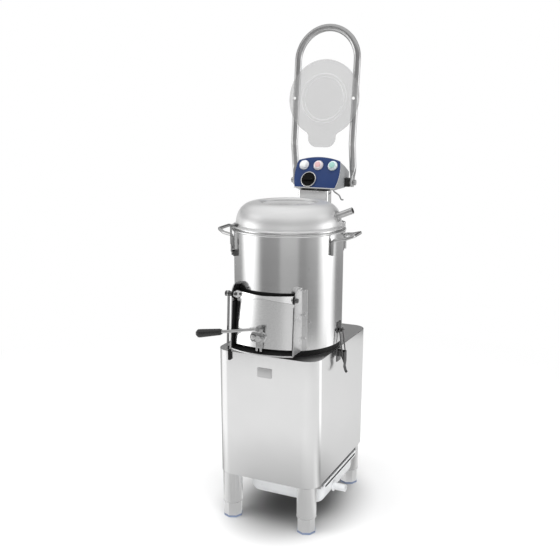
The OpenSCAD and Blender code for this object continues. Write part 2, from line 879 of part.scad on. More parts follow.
module chute_frame() {
    strip_t = 1;
    strip_w = 12;
    strip_top = cheek_arc_z + 20;
    floor_top = chute_top_z - mat_sunk;
    lip_top = drum_low - mat_sunk;
    color("gainsboro") {
        both_sides() difference() {
            side_plate(cheek_in, chute_t) cheek_outline();
            drum_solid();
            x_cylinder(cheek_in - over, chute_half_w + over, -hinge_y, hinge_z, hinge_pin_d / 2);
        }
        intersection() {
            translate([0, 0, drum_low + 1]) ring(drum_r, drum_r + strip_t, strip_top - drum_low);
            both_sides() box([chute_half_w - over / 2, -drum_r, 0],
                [chute_half_w + strip_w, 0, strip_top]);
        }
        intersection() {
            rotate_extrude() {
                polygon([[drum_r, floor_top], [lip_r, lip_top], [lip_r, lip_top - chute_t],
                    [drum_r, floor_top - chute_t]]);
                translate([lip_r, lip_top]) circle(r = bead_r);
            }
            box([-cheek_in, -lip_r - 2 * bead_r, 0], [cheek_in, 0, drum_top]);
        }
    }
}

module door_gasket() {
    lining_front = -hinge_y - 14;
    lining_top = hinge_z - 22;
    frame_top = cheek_arc_z + 10;
    mat_in = drum_r + 3;
    mat_out = lip_r - bead_r - side_gap;
    lining_drop = mat_t / 2;
    lobe_x = -cheek_in + 11;
    color([0.08, 0.08, 0.09]) difference() {
        union() {
            difference() {
                both_sides() side_plate(cheek_in - lining_t, lining_t)
                    polygon([[-drum_r + 45, drum_low], [lining_front - 2, drum_low],
                        [lining_front + 8, lining_top], [-drum_r + 45, lining_top]]);
                rotate_extrude() polygon([[0, cab_clear], [lip_r + 5, cab_clear],
                    [lip_r + 5, chute_z(lip_r + 5) - lining_drop],
                    [drum_r, chute_top_z - lining_drop], [0, chute_top_z - lining_drop]]);
            }
            intersection() {
                rotate_extrude() polygon([
                    [mat_in, chute_z(mat_in) - mat_t], [mat_out, chute_z(mat_out) - mat_t],
                    [mat_out, chute_z(mat_out)], [mat_in, chute_z(mat_in)]]);
                box([-cheek_in, -lip_r, 0], [cheek_in, 0, drum_top]);
            }
            difference() {
                intersection() {
                    cylinder(h = drum_top, r = drum_r + frame_t);
                    union() {
                        box([-cheek_in, -lip_r, chute_top_z + 2], [cheek_in, 0, frame_top]);
                        y_cylinder(-lip_r, 0, lobe_x, cheek_arc_z, gasket_lobe_r);
                    }
                    box([-cheek_in, -lip_r, 0], [cheek_in, 0, drum_top]);
                }
                box([-door_half_w, -lip_r, 0], [door_half_w, 0, hinge_z]);
            }
        }
        drum_solid();
    }
}

module hinge_pins() {
    inner_x = door_half_w - 4;
    head_t = 5;
    color("gray") {
        x_cylinder(inner_x, chute_half_w + head_t, -hinge_y, hinge_z, hinge_pin_d / 2);
        x_cylinder(chute_half_w, chute_half_w + head_t, -hinge_y, hinge_z, hinge_pin_d / 2 + 3);
        x_cylinder(-stay_x - stay_t - 9, -inner_x, -hinge_y, hinge_z, hinge_pin_d / 2);
        x_cylinder(-stay_x, -chute_half_w, -hinge_y, hinge_z, hinge_pin_d / 2 + 3);
        x_cylinder(-stay_x - stay_t - 7, -stay_x - stay_t, -hinge_y, hinge_z, hinge_pin_d / 2 + 4);
    }
}

module rubber_buffers() {
    buffer_y = cab_front - 8;
    buffer_x = [-stay_x - 5, -stay_x + 2];
    buffer_z = [cab_top - 25, cab_top + 7];
    washer_in = door_half_w + ear_t + side_gap;
    color([0.1, 0.1, 0.1]) {
        both_sides() translate([washer_in, -hinge_y, hinge_z]) rotate([0, 90, 0])
            ring(hinge_pin_d / 2, washer_r, cheek_in - washer_in);
        difference() {
            box([buffer_x[0], buffer_y, buffer_z[0]], [buffer_x[1], cab_front + 10, buffer_z[1]]);
            linear_extrude(buffer_z[1] + over) cabinet_plan(0);
        }
    }
}

// The door's sheet as a cone about its own upright axis, between two offsets of its outer face
module door_cone(inner, outer, z_low, z_high) {
    translate([0, door_curve_back, 0]) rotate_extrude() polygon([
        [door_radius(z_low) + inner, z_low], [door_radius(z_low) + outer, z_low],
        [door_radius(z_high) + outer, z_high], [door_radius(z_high) + inner, z_high]]);
}

module door_panel() {
    color("silver") intersection() {
        door_cone(-door_t, 0, door_low_z, door_high_z);
        box([-door_half_w, -lip_r, 0], [door_half_w, 0, drum_top]);
    }
}

module door_strap() {
    ear_back = -drum_r + 10;
    color("silver") difference() {
        union() {
            intersection() {
                door_cone(0, strap_t, hinge_z - 14, hinge_z + 10);
                front_plate(0, lip_r) polygon([[-door_half_w, hinge_z - 13], [0, hinge_z - 3],
                    [door_half_w, hinge_z - 13], [door_half_w, hinge_z + 9], [0, hinge_z + 5],
                    [-door_half_w, hinge_z + 9]]);
            }
            both_sides() side_plate(door_half_w, ear_t) {
                translate([-hinge_y, hinge_z]) circle(r = ear_r);
                polygon([[-hinge_y, hinge_z - ear_r], [ear_back - 6, hinge_z - 14],
                    [ear_back, hinge_z + 9], [-hinge_y, hinge_z + ear_r]]);
            }
        }
        both_sides() x_cylinder(door_half_w - over, door_half_w + ear_t + over, -hinge_y, hinge_z,
            hinge_pin_d / 2 + run_gap);
    }
}

module lever_pivot() {
    boss_r = 17;
    head_r = 9;
    head_t = 5.5;
    color("silver") {
        difference() {
            y_cylinder(-boss_y, -face_y + 8, 0, lever_z, boss_r);
            translate([0, door_curve_back, 0]) rotate_extrude($fn = wide_fn) polygon([[0, door_low_z],
                [door_radius(door_low_z), door_low_z], [door_radius(door_high_z), door_high_z],
                [0, door_high_z]]);
        }
        y_cylinder(-hub_front_y - head_t, -boss_y, 0, lever_z, lever_bolt_d / 2);
        y_cylinder(-hub_front_y - head_t - move_gap, -hub_front_y - move_gap, 0, lever_z, head_r);
    }
}

module lever_hub() {
    toe_back_y = door_radius(door_low_z) - door_curve_back + 1;
    toe_low = drum_low + 6.5;
    toe_half_w = 10;
    notch_half_w = 3;
    notch_top = toe_low + 10;
    wing_x = [-26, 0];
    wing_z = [lever_z - 13, lever_z + 16];
    neck_r = 9;
    color("darkgray") difference() {
        union() {
            y_cylinder(-hub_front_y, -hub_back_y, 0, lever_z, lever_hub_d / 2);
            front_plate(-toe_back_y, hub_front_y - toe_back_y) difference() {
                union() {
                    translate([-toe_half_w, toe_low]) square([2 * toe_half_w, arm_z - toe_low]);
                    rounded_rect([wing_x[0], wing_z[0]], [wing_x[1], wing_z[1]], 8);
                }
                translate([-notch_half_w, toe_low - over])
                    square([2 * notch_half_w, notch_top - toe_low + over]);
            }
            y_cylinder(-arm_y - 4, -toe_back_y, 0, arm_z, neck_r);
        }
        y_cylinder(-hub_front_y - over, -hub_back_y + over, 0, lever_z, lever_bolt_d / 2 + run_gap);
        arm_bar();
    }
}

// Runs its children along the lever's arm, out of the hub's neck
module along_arm() {
    translate([0, -arm_y, arm_z]) rotate([0, -90 - lever_slope, 0]) children();
}

module arm_bar() {
    thin_r = 3.5;
    thick_r = 5;
    along_arm() cylinder(h = lever_rod_len, r1 = thin_r, r2 = thick_r);
}

module lever_rod() {
    color("silver") arm_bar();
}

module lever_grip() {
    neck_d = grip_d - 6;
    collar_d = 15;
    collar_h = 5;
    end_h = 9;
    color([0.1, 0.1, 0.1]) along_arm() translate([0, 0, lever_rod_len]) {
        cylinder(h = collar_h, d1 = collar_d, d2 = neck_d);
        translate([0, 0, collar_h]) cylinder(h = grip_len - collar_h - end_h, d1 = neck_d, d2 = grip_d);
        translate([0, 0, grip_len - end_h]) cylinder(h = end_h, d1 = grip_d, d2 = grip_d - 7);
    }
}

module side_stay() {
    half_bar = 4;
    foot_y = -hinge_y - 11;
    low_z = drum_low - 7;
    color("silver") difference() {
        union() {
            side_plate(-stay_x - stay_t, stay_t) {
                translate([-hinge_y, hinge_z]) circle(r = ear_r);
                polygon([[-hinge_y - half_bar, hinge_z], [foot_y - half_bar, low_z],
                    [foot_y + half_bar, low_z], [-hinge_y + half_bar, hinge_z]]);
            }
            box([-stay_x, foot_y, drum_low + 3], [-chute_half_w, foot_y + half_bar, drum_low + 13]);
        }
        x_cylinder(-stay_x - stay_t - over, -stay_x + over, -hinge_y, hinge_z, hinge_pin_d / 2);
    }
}

// A bent rod whose two feet lie along the drum's wall, and its twin on the other side
module drum_handles() {
    rod_r = handle_rod_d / 2;
    half_span = handle_span / 2;
    sink = 0.03;
    shoulder_in = 10;
    shoulder_rise = 4;
    foot_x_wall = sqrt(pow(drum_r + rod_r - sink, 2) - pow(half_span, 2));
    foot_top = drum_top - 28;
    foot_low = foot_top - handle_foot_h;
    tip = [drum_r + handle_reach, handle_bar / 2, drum_top - handle_drop];
    shoulder = [drum_r + handle_reach / 2, half_span - shoulder_in, foot_top + shoulder_rise];
    function flip(p) = [p.x, -p.y, p.z];
    color("silver") for (turn = [handle_turn, handle_turn + 180]) rotate([0, 0, turn])
        bent_rod([[foot_x_wall, half_span, foot_low], [foot_x_wall, half_span, foot_top], shoulder, tip,
            flip(tip), flip(shoulder), [foot_x_wall, -half_span, foot_top],
            [foot_x_wall, -half_span, foot_low]], rod_r);
}

module dome_lid() {
    curl_r = (crest_d - fill_d) / 2;
    rim_out = drum_r + 5;
    rim_in = dome_d / 2 - dome_t - 6;
    collar_in = fill_d / 2;
    collar_low = crest_z - collar_h;
    inlet_hole = [-30, 10];
    arc = [for (i = [0 : dome_steps]) i * 90 / dome_steps];
    turn = [for (i = [1 : 6]) 90 + i * 15];
    function curl_point(t, r) = [crest_d / 2 + r * cos(t), crest_z - curl_r + r * sin(t)];
    color("lightgray") difference() {
        rotate_extrude() {
            polygon(concat([for (t = arc) dome_point(t, 0)], [for (t = turn) curl_point(t, curl_r)],
                [[collar_in, collar_low], [collar_in + dome_t, collar_low]],
                [for (i = [5 : -1 : 0]) curl_point(turn[i], curl_r - dome_t)],
                [for (i = [dome_steps : -1 : 0]) dome_point(arc[i], dome_t)]));
            translate([rim_in, drum_top]) square([rim_out - rim_in, dome_t]);
        }
        along_inlet() translate([0, 0, inlet_hole[0]])
            cylinder(h = inlet_hole[1] - inlet_hole[0], d = inlet_d);
    }
}

// Runs its children along the water inlet, from the dome's outer face
module along_inlet() {
    rise = 25.5;
    at = dome_point(rise, 0);
    translate([at[0], 0, at[1]]) rotate([0, 90 - inlet_slope, 0]) children();
}

module dome_solid() {
    rotate_extrude() polygon(concat([for (i = [0 : dome_steps]) dome_point(i * 90 / dome_steps, 0)],
        [[0, crest_z], [0, drum_top]]));
}

module water_inlet() {
    root = 6;
    flange_r = 17;
    color("silver") difference() {
        union() {
            along_inlet() translate([0, 0, -root]) cylinder(h = inlet_len + root, d = inlet_d);
            difference() {
                along_inlet() translate([0, 0, -root]) cylinder(h = root + 3, r = flange_r);
                dome_solid();
            }
        }
        along_inlet() translate([0, 0, -root - over])
            cylinder(h = inlet_len + root + 2 * over, d = inlet_bore_d);
    }
}

module column() {
    corner_r = 8;
    foot_grow = 6;
    foot_t = 3;
    low = [-column_w / 2, column_front];
    high = [column_w / 2, column_front + column_d];
    cable_hole_d = 24;
    color("lightgray") {
        translate([0, 0, cab_top]) linear_extrude(head_low - cab_top - column_t) difference() {
            rounded_rect(low, high, corner_r);
            rounded_rect(low + [column_t, column_t], high - [column_t, column_t], corner_r - column_t);
        }
        translate([0, 0, head_low - column_t]) linear_extrude(column_t) difference() {
            rounded_rect(low, high, corner_r);
            translate([0, column_front + column_d * 2 / 3]) circle(d = cable_hole_d);
        }
        translate([0, 0, cab_top]) linear_extrude(foot_t) difference() {
            rounded_rect(low - [foot_grow, foot_grow], high + [foot_grow, foot_grow], corner_r);
            rounded_rect(low + [column_t, column_t], high - [column_t, column_t], corner_r - column_t);
        }
    }
}

// Puts its children on the panel's outer face: X across, Y up the panel, Z outwards
module on_panel() {
    translate([0, panel_y, panel_z]) rotate([90 - panel_tilt, 0, 0]) children();
}

// The fascia's outline: bowed sides and top, rounded corners
module fascia_outline(inset) {
    side_r = 161;
    top_r = 217;
    widest = 54;
    corner_r = 9;
    offset(r = corner_r, $fn = 32) offset(delta = -corner_r - inset) intersection() {
        translate([side_r - panel_w / 2, widest]) circle(r = side_r);
        translate([panel_w / 2 - side_r, widest]) circle(r = side_r);
        translate([0, panel_len - top_r]) circle(r = top_r);
        translate([-panel_w / 2, 0]) square([panel_w, panel_len]);
    }
}

// The head's outer or inner form behind the panel
module head_form(inset, front) {
    r = head_corner_r - inset;
    x_wide = head_half_w - head_corner_r;
    rear = head_back - head_corner_r;
    corners = [[x_wide, rear, 33], [x_wide, rear, 46], [x_wide - 2, rear - 32, 64],
        [x_wide - 12, column_front + 32, 1], [x_wide, guard_pivot_y, 5]];
    hull() {
        on_panel() translate([0, 0, -panel_t - 2]) linear_extrude(front) fascia_outline(inset);
        for (c = corners) both_sides() translate([c.x, c.y, panel_z + c.z])
            sphere(r = r, $fn = hull_fn);
    }
}

module head_casing() {
    color("gainsboro") difference() {
        head_form(0, 2);
        head_form(head_t, 3);
        translate([0, column_front + column_d * 2 / 3, head_low - over])
            cylinder(h = head_t + 6, d = 24);
    }
}

module at_buttons() {
    for (i = [-1 : 1]) translate([i * button_pitch, panel_len - button_row, 0]) children();
}

module at_timer() {
    timer_at = [-24, 29];
    translate([timer_at.x, timer_at.y, 0]) children();
}

module control_panel() {
    color([0.17, 0.26, 0.44]) on_panel() difference() {
        translate([0, 0, -panel_t]) linear_extrude(panel_t) fascia_outline(0);
        at_buttons() translate([0, 0, -panel_t - over])
            cylinder(h = panel_t + 2 * over, r = button_d / 2 + move_gap);
        at_timer() translate([0, 0, -panel_t - over]) cylinder(h = panel_t + 2 * over, r = 6);
    }
}

// A push button with a retaining collar behind the panel
module push_button(place) {
    collar_t = 3;
    collar_low = -panel_t - move_gap - collar_t;
    crown_t = 3;
    cap_r = button_d / 2;
    on_panel() translate([place * button_pitch, panel_len - button_row, 0]) {
        translate([0, 0, collar_low]) cylinder(h = collar_t, r = cap_r + 2);
        translate([0, 0, collar_low]) cylinder(h = button_h - crown_t - collar_low, r = cap_r);
        translate([0, 0, button_h - crown_t]) cylinder(h = crown_t, r1 = cap_r, r2 = cap_r - 4);
    }
}

module button_white() {
    color("whitesmoke") push_button(-1);
}

module button_red() {
    color([0.85, 0.6, 0.6]) push_button(0);
}

module button_green() {
    color([0.5, 0.78, 0.72]) push_button(1);
}

module timer_bezel() {
    ring_h = 5;
    works_r = 17;
    works_h = 14;
    color("silver") on_panel() at_timer() {
        ring(timer_knob_d / 2 + move_gap, timer_ring_d / 2, ring_h);
        difference() {
            translate([0, 0, -panel_t - works_h]) cylinder(h = works_h, r = works_r);
            translate([0, 0, -panel_t - works_h + 2]) cylinder(h = works_h, r = 3 + run_gap);
        }
    }
}

module timer_knob() {
    cap_h = 3.5;
    bar_h = 6;
    stem = 14;
    color([0.08, 0.08, 0.08]) on_panel() at_timer() {
        translate([0, 0, move_gap]) cylinder(h = cap_h, d = timer_knob_d);
        translate([0, 0, move_gap - stem]) cylinder(h = stem + 1, r = 3);
        translate([-timer_knob_d / 2 + 4, -4, move_gap + cap_h]) cube([timer_knob_d - 8, 8, bar_h]);
    }
}

module pivot_blocks() {
    color([0.1, 0.1, 0.1]) both_sides() difference() {
        box([head_half_w, guard_pivot_y - block_w / 2, guard_z - block_w / 2],
            [block_outer, guard_pivot_y + block_w / 2, guard_z + block_w / 2]);
        x_cylinder(block_outer - block_back, block_outer + over, guard_pivot_y, guard_z, guard_bolt_d / 2);
    }
}

module pivot_bolts() {
    washer_w = 4.5;
    end_in = guard_half - guard_end_t / 2;
    head_x = guard_half + guard_end_t / 2 + move_gap;
    head_t = 7;
    bolt_r = guard_bolt_d / 2;
    color("silver") both_sides() {
        x_cylinder(block_outer - block_back, head_x + head_t, guard_pivot_y, guard_z, bolt_r);
        x_cylinder(block_outer, end_in - move_gap, guard_pivot_y, guard_z, bolt_r + washer_w);
        x_cylinder(head_x, head_x + head_t, guard_pivot_y, guard_z, bolt_r + 4);
    }
}

// Puts its children on the guard's pivots: X across, Y up the open guard, Z forwards
module on_guard() {
    translate([0, guard_pivot_y, guard_z]) rotate([90 - guard_lean, 0, 0]) children();
}

module guard_arch() {
    start = 32;
    bend_top = 117;
    arc_at = guard_len - guard_half;
    leg = [guard_half, arc_at, guard_offset];
    color("silver") on_guard() {
        both_sides() {
            bent_rod([[guard_half, start, 0], [guard_half, bend_top, guard_offset], leg], guard_tube_r);
            difference() {
                union() {
                    x_cylinder(guard_half - guard_end_t / 2, guard_half + guard_end_t / 2, 0, 0, guard_end_r);
                    box([guard_half - guard_end_t / 2, 0, -guard_end_r],
                        [guard_half + guard_end_t / 2, start, guard_end_r]);
                }
                x_cylinder(guard_half - guard_end_t, guard_half + guard_end_t, 0, 0,
                    guard_bolt_d / 2 + run_gap);
            }
        }
        translate([0, arc_at, guard_offset]) rotate_extrude(angle = 180)
            translate([guard_half, 0]) circle(r = guard_tube_r);
    }
}

module lid_outline() {
    tab_half_w = 47;
    tab_corner_r = 30;
    fillet_r = 14;
    offset(r = -fillet_r) offset(delta = fillet_r) {
        circle(d = lid_d);
        translate([0, -lid_tab_reach + tab_corner_r]) {
            translate([-tab_half_w, 0]) square([2 * tab_half_w, lid_tab_reach - lid_d / 2]);
            both_sides() translate([tab_half_w - tab_corner_r, 0]) circle(r = tab_corner_r);
            translate([-tab_half_w + tab_corner_r, -tab_corner_r])
                square([2 * (tab_half_w - tab_corner_r), tab_corner_r]);
        }
    }
}

module lid_disc() {
    groove_r = 78;
    groove_w = 3;
    groove_depth = 1;
    color([0.83, 0.83, 0.83, 0.8]) on_guard()
        translate([0, lid_reach, guard_offset + guard_tube_r]) difference() {
            linear_extrude(lid_t) lid_outline();
            translate([0, 0, lid_t - groove_depth]) ring(groove_r - groove_w, groove_r, groove_depth + over);
        }
}

module latch_plate_at(y, t) {
    translate([0, latch_y, 0]) front_plate(y + t, t) children();
}

module latch_bases() {
    plate_z = [latch_pin_z - 28, latch_pin_z + 12];
    ear_r_out = 6;
    pin_proud = 0.8;
    clip_base_z = [clip_pin_z - 8, clip_pin_z + 8];
    color("silver") {
        both_sides() {
            box([cab_w / 2, latch_y - latch_w / 2, plate_z[0]],
                [cab_w / 2 + sheet_t, latch_y + latch_w / 2, plate_z[1]]);
            for (y = [-latch_ear_out, latch_ear_out - sheet_t]) latch_plate_at(y, sheet_t) {
                translate(latch_pin) circle(r = ear_r_out);
                translate([cab_w / 2 + sheet_t - over, latch_pin_z - 12]) square([9, 18]);
            }
            y_cylinder(latch_y - latch_wall_out - pin_proud, latch_y + latch_wall_out + pin_proud,
                latch_pin.x, latch_pin.y, latch_pin_d / 2);
        }
        for (turn = [clip_angle, clip_angle + 180]) rotate([0, 0, turn]) difference() {
            union() {
                box([drum_r - 8, -clip_w / 2, clip_base_z[0]], [drum_r + 2, clip_w / 2, clip_base_z[1]]);
                for (y = [-clip_w / 2, clip_w / 2 - sheet_t])
                    box([drum_r - 8, y, clip_base_z[0]], [clip_pin_x + 3.5, y + sheet_t, clip_base_z[1]]);
                y_cylinder(-clip_w / 2, clip_w / 2, clip_pin_x, clip_pin_z, latch_pin_d / 2);
            }
            drum_solid();
        }
    }
}

module latch_catches() {
    hook_half_w = bail_y - bail_r - move_gap;
    hook_z = bail_top[1] - bail_r - side_gap;
    hook_t = 3;
    lip_t = 1.5;
    hook_out = bail_top[0] + bail_r + 2.5;
    nub_x = [dome_d / 2 + side_gap, drum_r + 0.5];
    nub_h = 7;
    color("silver") {
        both_sides() difference() {
            union() {
                box([drum_r - 8, latch_y - latch_w / 2, hook_z - 8],
                    [drum_r + 2, latch_y + latch_w / 2, hook_z + 25]);
                box([drum_r + over, latch_y - hook_half_w, hook_z - hook_t],
                    [hook_out + lip_t, latch_y + hook_half_w, hook_z]);
                box([hook_out, latch_y - hook_half_w, hook_z - hook_t],
                    [hook_out + lip_t, latch_y + hook_half_w, hook_z + lip_t]);
            }
            drum_solid();
        }
        for (turn = [clip_angle, clip_angle + 180]) rotate([0, 0, turn])
            box([nub_x[0], -clip_w / 2, drum_top + dome_t],
                [nub_x[1], clip_w / 2, drum_top + dome_t + nub_h]);
    }
}

module latch_lever() {
    plate_x = bail_pin.x + bail_r + 1;
    lever_low = latch_pin_z - 41;
    lever_high = latch_pin_z + 4;
    eye_r = 5;
    curl_r = 3;
    color("gainsboro") difference() {
        union() {
            for (y = [-latch_wall_out, latch_wall_out - sheet_t]) latch_plate_at(y, sheet_t) {
                translate(latch_pin) circle(r = eye_r);
                translate(bail_pin) circle(r = eye_r);
                polygon([latch_pin + [0, -eye_r], bail_pin + [-eye_r, -4], [plate_x, lever_low + 18],
                    [plate_x + over, lever_high], latch_pin + [0, lever_high - latch_pin_z]]);
            }
            box([plate_x, latch_y - latch_wall_out, lever_low],
                [plate_x + sheet_t, latch_y + latch_wall_out, lever_high]);
            y_cylinder(latch_y - latch_wall_out, latch_y + latch_wall_out, plate_x + sheet_t, lever_low,
                curl_r);
        }
        translate([0, latch_y, 0]) {
            y_cylinder(-latch_w, latch_w, latch_pin.x, latch_pin.y, latch_pin_d / 2 + run_gap);
            y_cylinder(-latch_w, latch_w, bail_pin.x, bail_pin.y, bail_r + run_gap);
        }
    }
}

module latch_bail() {
    foot = latch_wall_out - sheet_t;
    low = bail_pin;
    high = bail_top;
    color("silver") translate([0, latch_y, 0]) bent_rod([[low.x, -foot, low.y],
        [low.x, -bail_y, low.y], [high.x, -bail_y, high.y], [high.x, bail_y, high.y],
        [low.x, bail_y, low.y], [low.x, foot, low.y]], bail_r);
}

module latch_lever_right() {
    latch_lever();
}

module latch_bail_right() {
    latch_bail();
}

module latch_lever_left() {
    mirror([1, 0, 0]) latch_lever();
}

module latch_bail_left() {
    mirror([1, 0, 0]) latch_bail();
}

// A lid clip: a plate that turns on its base, and the wire that hooks over the dome's rim
module lid_clip() {
    half_w = clip_w / 2 - sheet_t - move_gap;
    plate_top = clip_pin_z + 42;
    wire_y = half_w - bail_r;
    hook_z = drum_top + dome_t + bail_r + 1;
    hook_x = drum_r + 3;
    wire_x = clip_out_x + bail_r;
    wire_low = plate_top - 14;
    eye_r = 4;
    color("silver") difference() {
        union() {
            y_cylinder(-half_w, half_w, clip_pin_x, clip_pin_z, eye_r);
            box([clip_out_x, -half_w, clip_pin_z], [clip_out_x + sheet_t, half_w, plate_top]);
            box([clip_pin_x, -half_w, clip_pin_z], [clip_out_x + over, half_w, clip_pin_z + eye_r]);
            bent_rod([[wire_x, -wire_y, wire_low], [wire_x, -wire_y, hook_z], [hook_x, -wire_y, hook_z],
                [hook_x, wire_y, hook_z], [wire_x, wire_y, hook_z], [wire_x, wire_y, wire_low]], bail_r);
        }
        y_cylinder(-clip_w, clip_w, clip_pin_x, clip_pin_z, latch_pin_d / 2 + run_gap);
    }
}

module lid_clip_right() {
    rotate([0, 0, clip_angle]) lid_clip();
}

module lid_clip_left() {
    rotate([0, 0, clip_angle + 180]) lid_clip();
}

in_frame() cabinet_shell();
in_frame() back_panel();
in_frame() top_plate();
in_frame() base_frame();
in_frame() leg_sleeves();
in_frame() foot_inserts();
in_frame() foot_pads();
in_frame() cable_gland();
in_frame() waste_basin();
in_frame() drain_stub();
in_frame() waste_pipe();
in_frame() base_ring();
in_frame() drum_shell();
in_frame() chamber_floor();
in_frame() abrasive_liner();
in_frame() abrasive_disc();
in_frame() disc_nut();
in_frame() main_shaft();
in_frame() driven_pulley();
in_frame() bearing_housing();
in_frame() main_bearings();
in_frame() shaft_seal();
in_frame() motor_body();
in_frame() motor_bracket();
in_frame() motor_pulley();
in_frame() drive_belt();
in_frame() chute_frame();
in_frame() door_gasket();
in_frame() hinge_pins();
in_frame() rubber_buffers();
in_frame() door_panel();
in_frame() door_strap();
in_frame() lever_pivot();
in_frame() lever_hub();
in_frame() lever_rod();
in_frame() lever_grip();
in_frame() side_stay();
in_frame() drum_handles();
in_frame() dome_lid();
in_frame() water_inlet();
in_frame() column();
in_frame() head_casing();
in_frame() control_panel();
in_frame() button_white();
in_frame() button_red();
in_frame() button_green();
in_frame() timer_bezel();
in_frame() timer_knob();
in_frame() pivot_blocks();
in_frame() pivot_bolts();
in_frame() guard_arch();
in_frame() lid_disc();
in_frame() latch_bases();
in_frame() latch_catches();
in_frame() latch_lever_right();
in_frame() latch_bail_right();
in_frame() latch_lever_left();
in_frame() latch_bail_left();
in_frame() lid_clip_right();
in_frame() lid_clip_left();
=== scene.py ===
"""Electric potato peeler: looks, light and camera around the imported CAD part.

Every object is in metres. Forms are written in mm from the drum's axis and the floor, and at() converts them.
"""

import math

import bmesh
import bpy
from mathutils import Matrix, Vector


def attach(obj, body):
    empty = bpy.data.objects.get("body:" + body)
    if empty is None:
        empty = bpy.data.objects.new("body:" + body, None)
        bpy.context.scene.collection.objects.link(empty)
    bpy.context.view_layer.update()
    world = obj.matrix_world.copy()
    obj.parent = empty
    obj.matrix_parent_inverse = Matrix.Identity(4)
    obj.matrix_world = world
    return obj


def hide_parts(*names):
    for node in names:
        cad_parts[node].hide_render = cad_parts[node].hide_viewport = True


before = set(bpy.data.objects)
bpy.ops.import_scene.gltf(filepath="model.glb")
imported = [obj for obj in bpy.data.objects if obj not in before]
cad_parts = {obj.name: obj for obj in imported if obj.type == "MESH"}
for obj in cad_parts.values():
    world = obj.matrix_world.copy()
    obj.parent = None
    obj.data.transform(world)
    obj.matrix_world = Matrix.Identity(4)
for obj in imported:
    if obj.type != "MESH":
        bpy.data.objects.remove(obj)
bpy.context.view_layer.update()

MM = 0.001
FRAME_Y = -44.864          # Y of the drum's axis in the row frame, in mm
LEAN = math.radians(6.3)   # backward lean of the open guard
TILT = math.radians(25.9)  # backward tilt of the control panel


def at(x, y, z):
    """A point given in mm from the drum's axis and the floor, in the row frame."""
    return Vector((x * MM, (y + FRAME_Y) * MM, z * MM))


# ---------------------------------------------------------------- materials

class Nodes:
    """Short ways to fill a node tree."""

    def __init__(self, tree):
        self.tree = tree

    def node(self, kind, **values):
        """A new node. A value goes to the input of that name, or else to the node's own setting."""
        made = self.tree.nodes.new(kind)
        for name, value in values.items():
            if name in made.inputs:
                made.inputs[name].default_value = value
            else:
                setattr(made, name, value)
        return made

    def link(self, source, target):
        self.tree.links.new(source, target)

    def coordinates(self, kind):
        return self.node("ShaderNodeTexCoord").outputs[kind]

    def spread(self, fac, low, high, in_low=0.3, in_high=0.7, **settings):
        """Maps a value between in_low and in_high to one between low and high."""
        made = self.node("ShaderNodeMapRange", **settings)
        for name, value in (("From Min", in_low), ("From Max", in_high), ("To Min", low), ("To Max", high)):
            made.inputs[name].default_value = value
        self.link(fac, made.inputs["Value"])
        return made.outputs["Result"]

    def distance(self, vector):
        """The length of a vector."""
        made = self.node("ShaderNodeVectorMath", operation="LENGTH")
        self.link(vector, made.inputs[0])
        return made.outputs["Value"]

    def azimuth(self, vector):
        """Azimuth about the machine from 0 to 1, with 0.5 at the front and more towards +X."""
        parts = self.node("ShaderNodeSeparateXYZ")
        self.link(vector, parts.inputs[0])
        back = self.node("ShaderNodeMath", operation="MULTIPLY")
        self.link(parts.outputs["Y"], back.inputs[0])
        back.inputs[1].default_value = -1.0
        angle = self.node("ShaderNodeMath", operation="ARCTAN2")
        self.link(parts.outputs["X"], angle.inputs[0])
        self.link(back.outputs[0], angle.inputs[1])
        return self.spread(angle.outputs[0], 0.0, 1.0, -math.pi, math.pi)

    def greys(self, fac, stops, first, last):
        """Greys along a value from 0 to 1. The stops' places are counted from first to last."""
        ramp = self.node("ShaderNodeValToRGB")
        while len(ramp.color_ramp.elements) < len(stops):
            ramp.color_ramp.elements.new(0.5)
        for element, (place, value) in zip(ramp.color_ramp.elements, stops):
            element.position = (place - first) / (last - first)
            element.color = (value, value, value, 1)
        self.link(fac, ramp.inputs["Fac"])
        return ramp.outputs["Color"]

    def blended(self, fac, first, second):
        """The first shader where fac is 0 and the second where it is 1."""
        made = self.node("ShaderNodeMixShader")
        for source, target in zip((fac, first, second), made.inputs):
            self.link(source, target)
        return made.outputs[0]


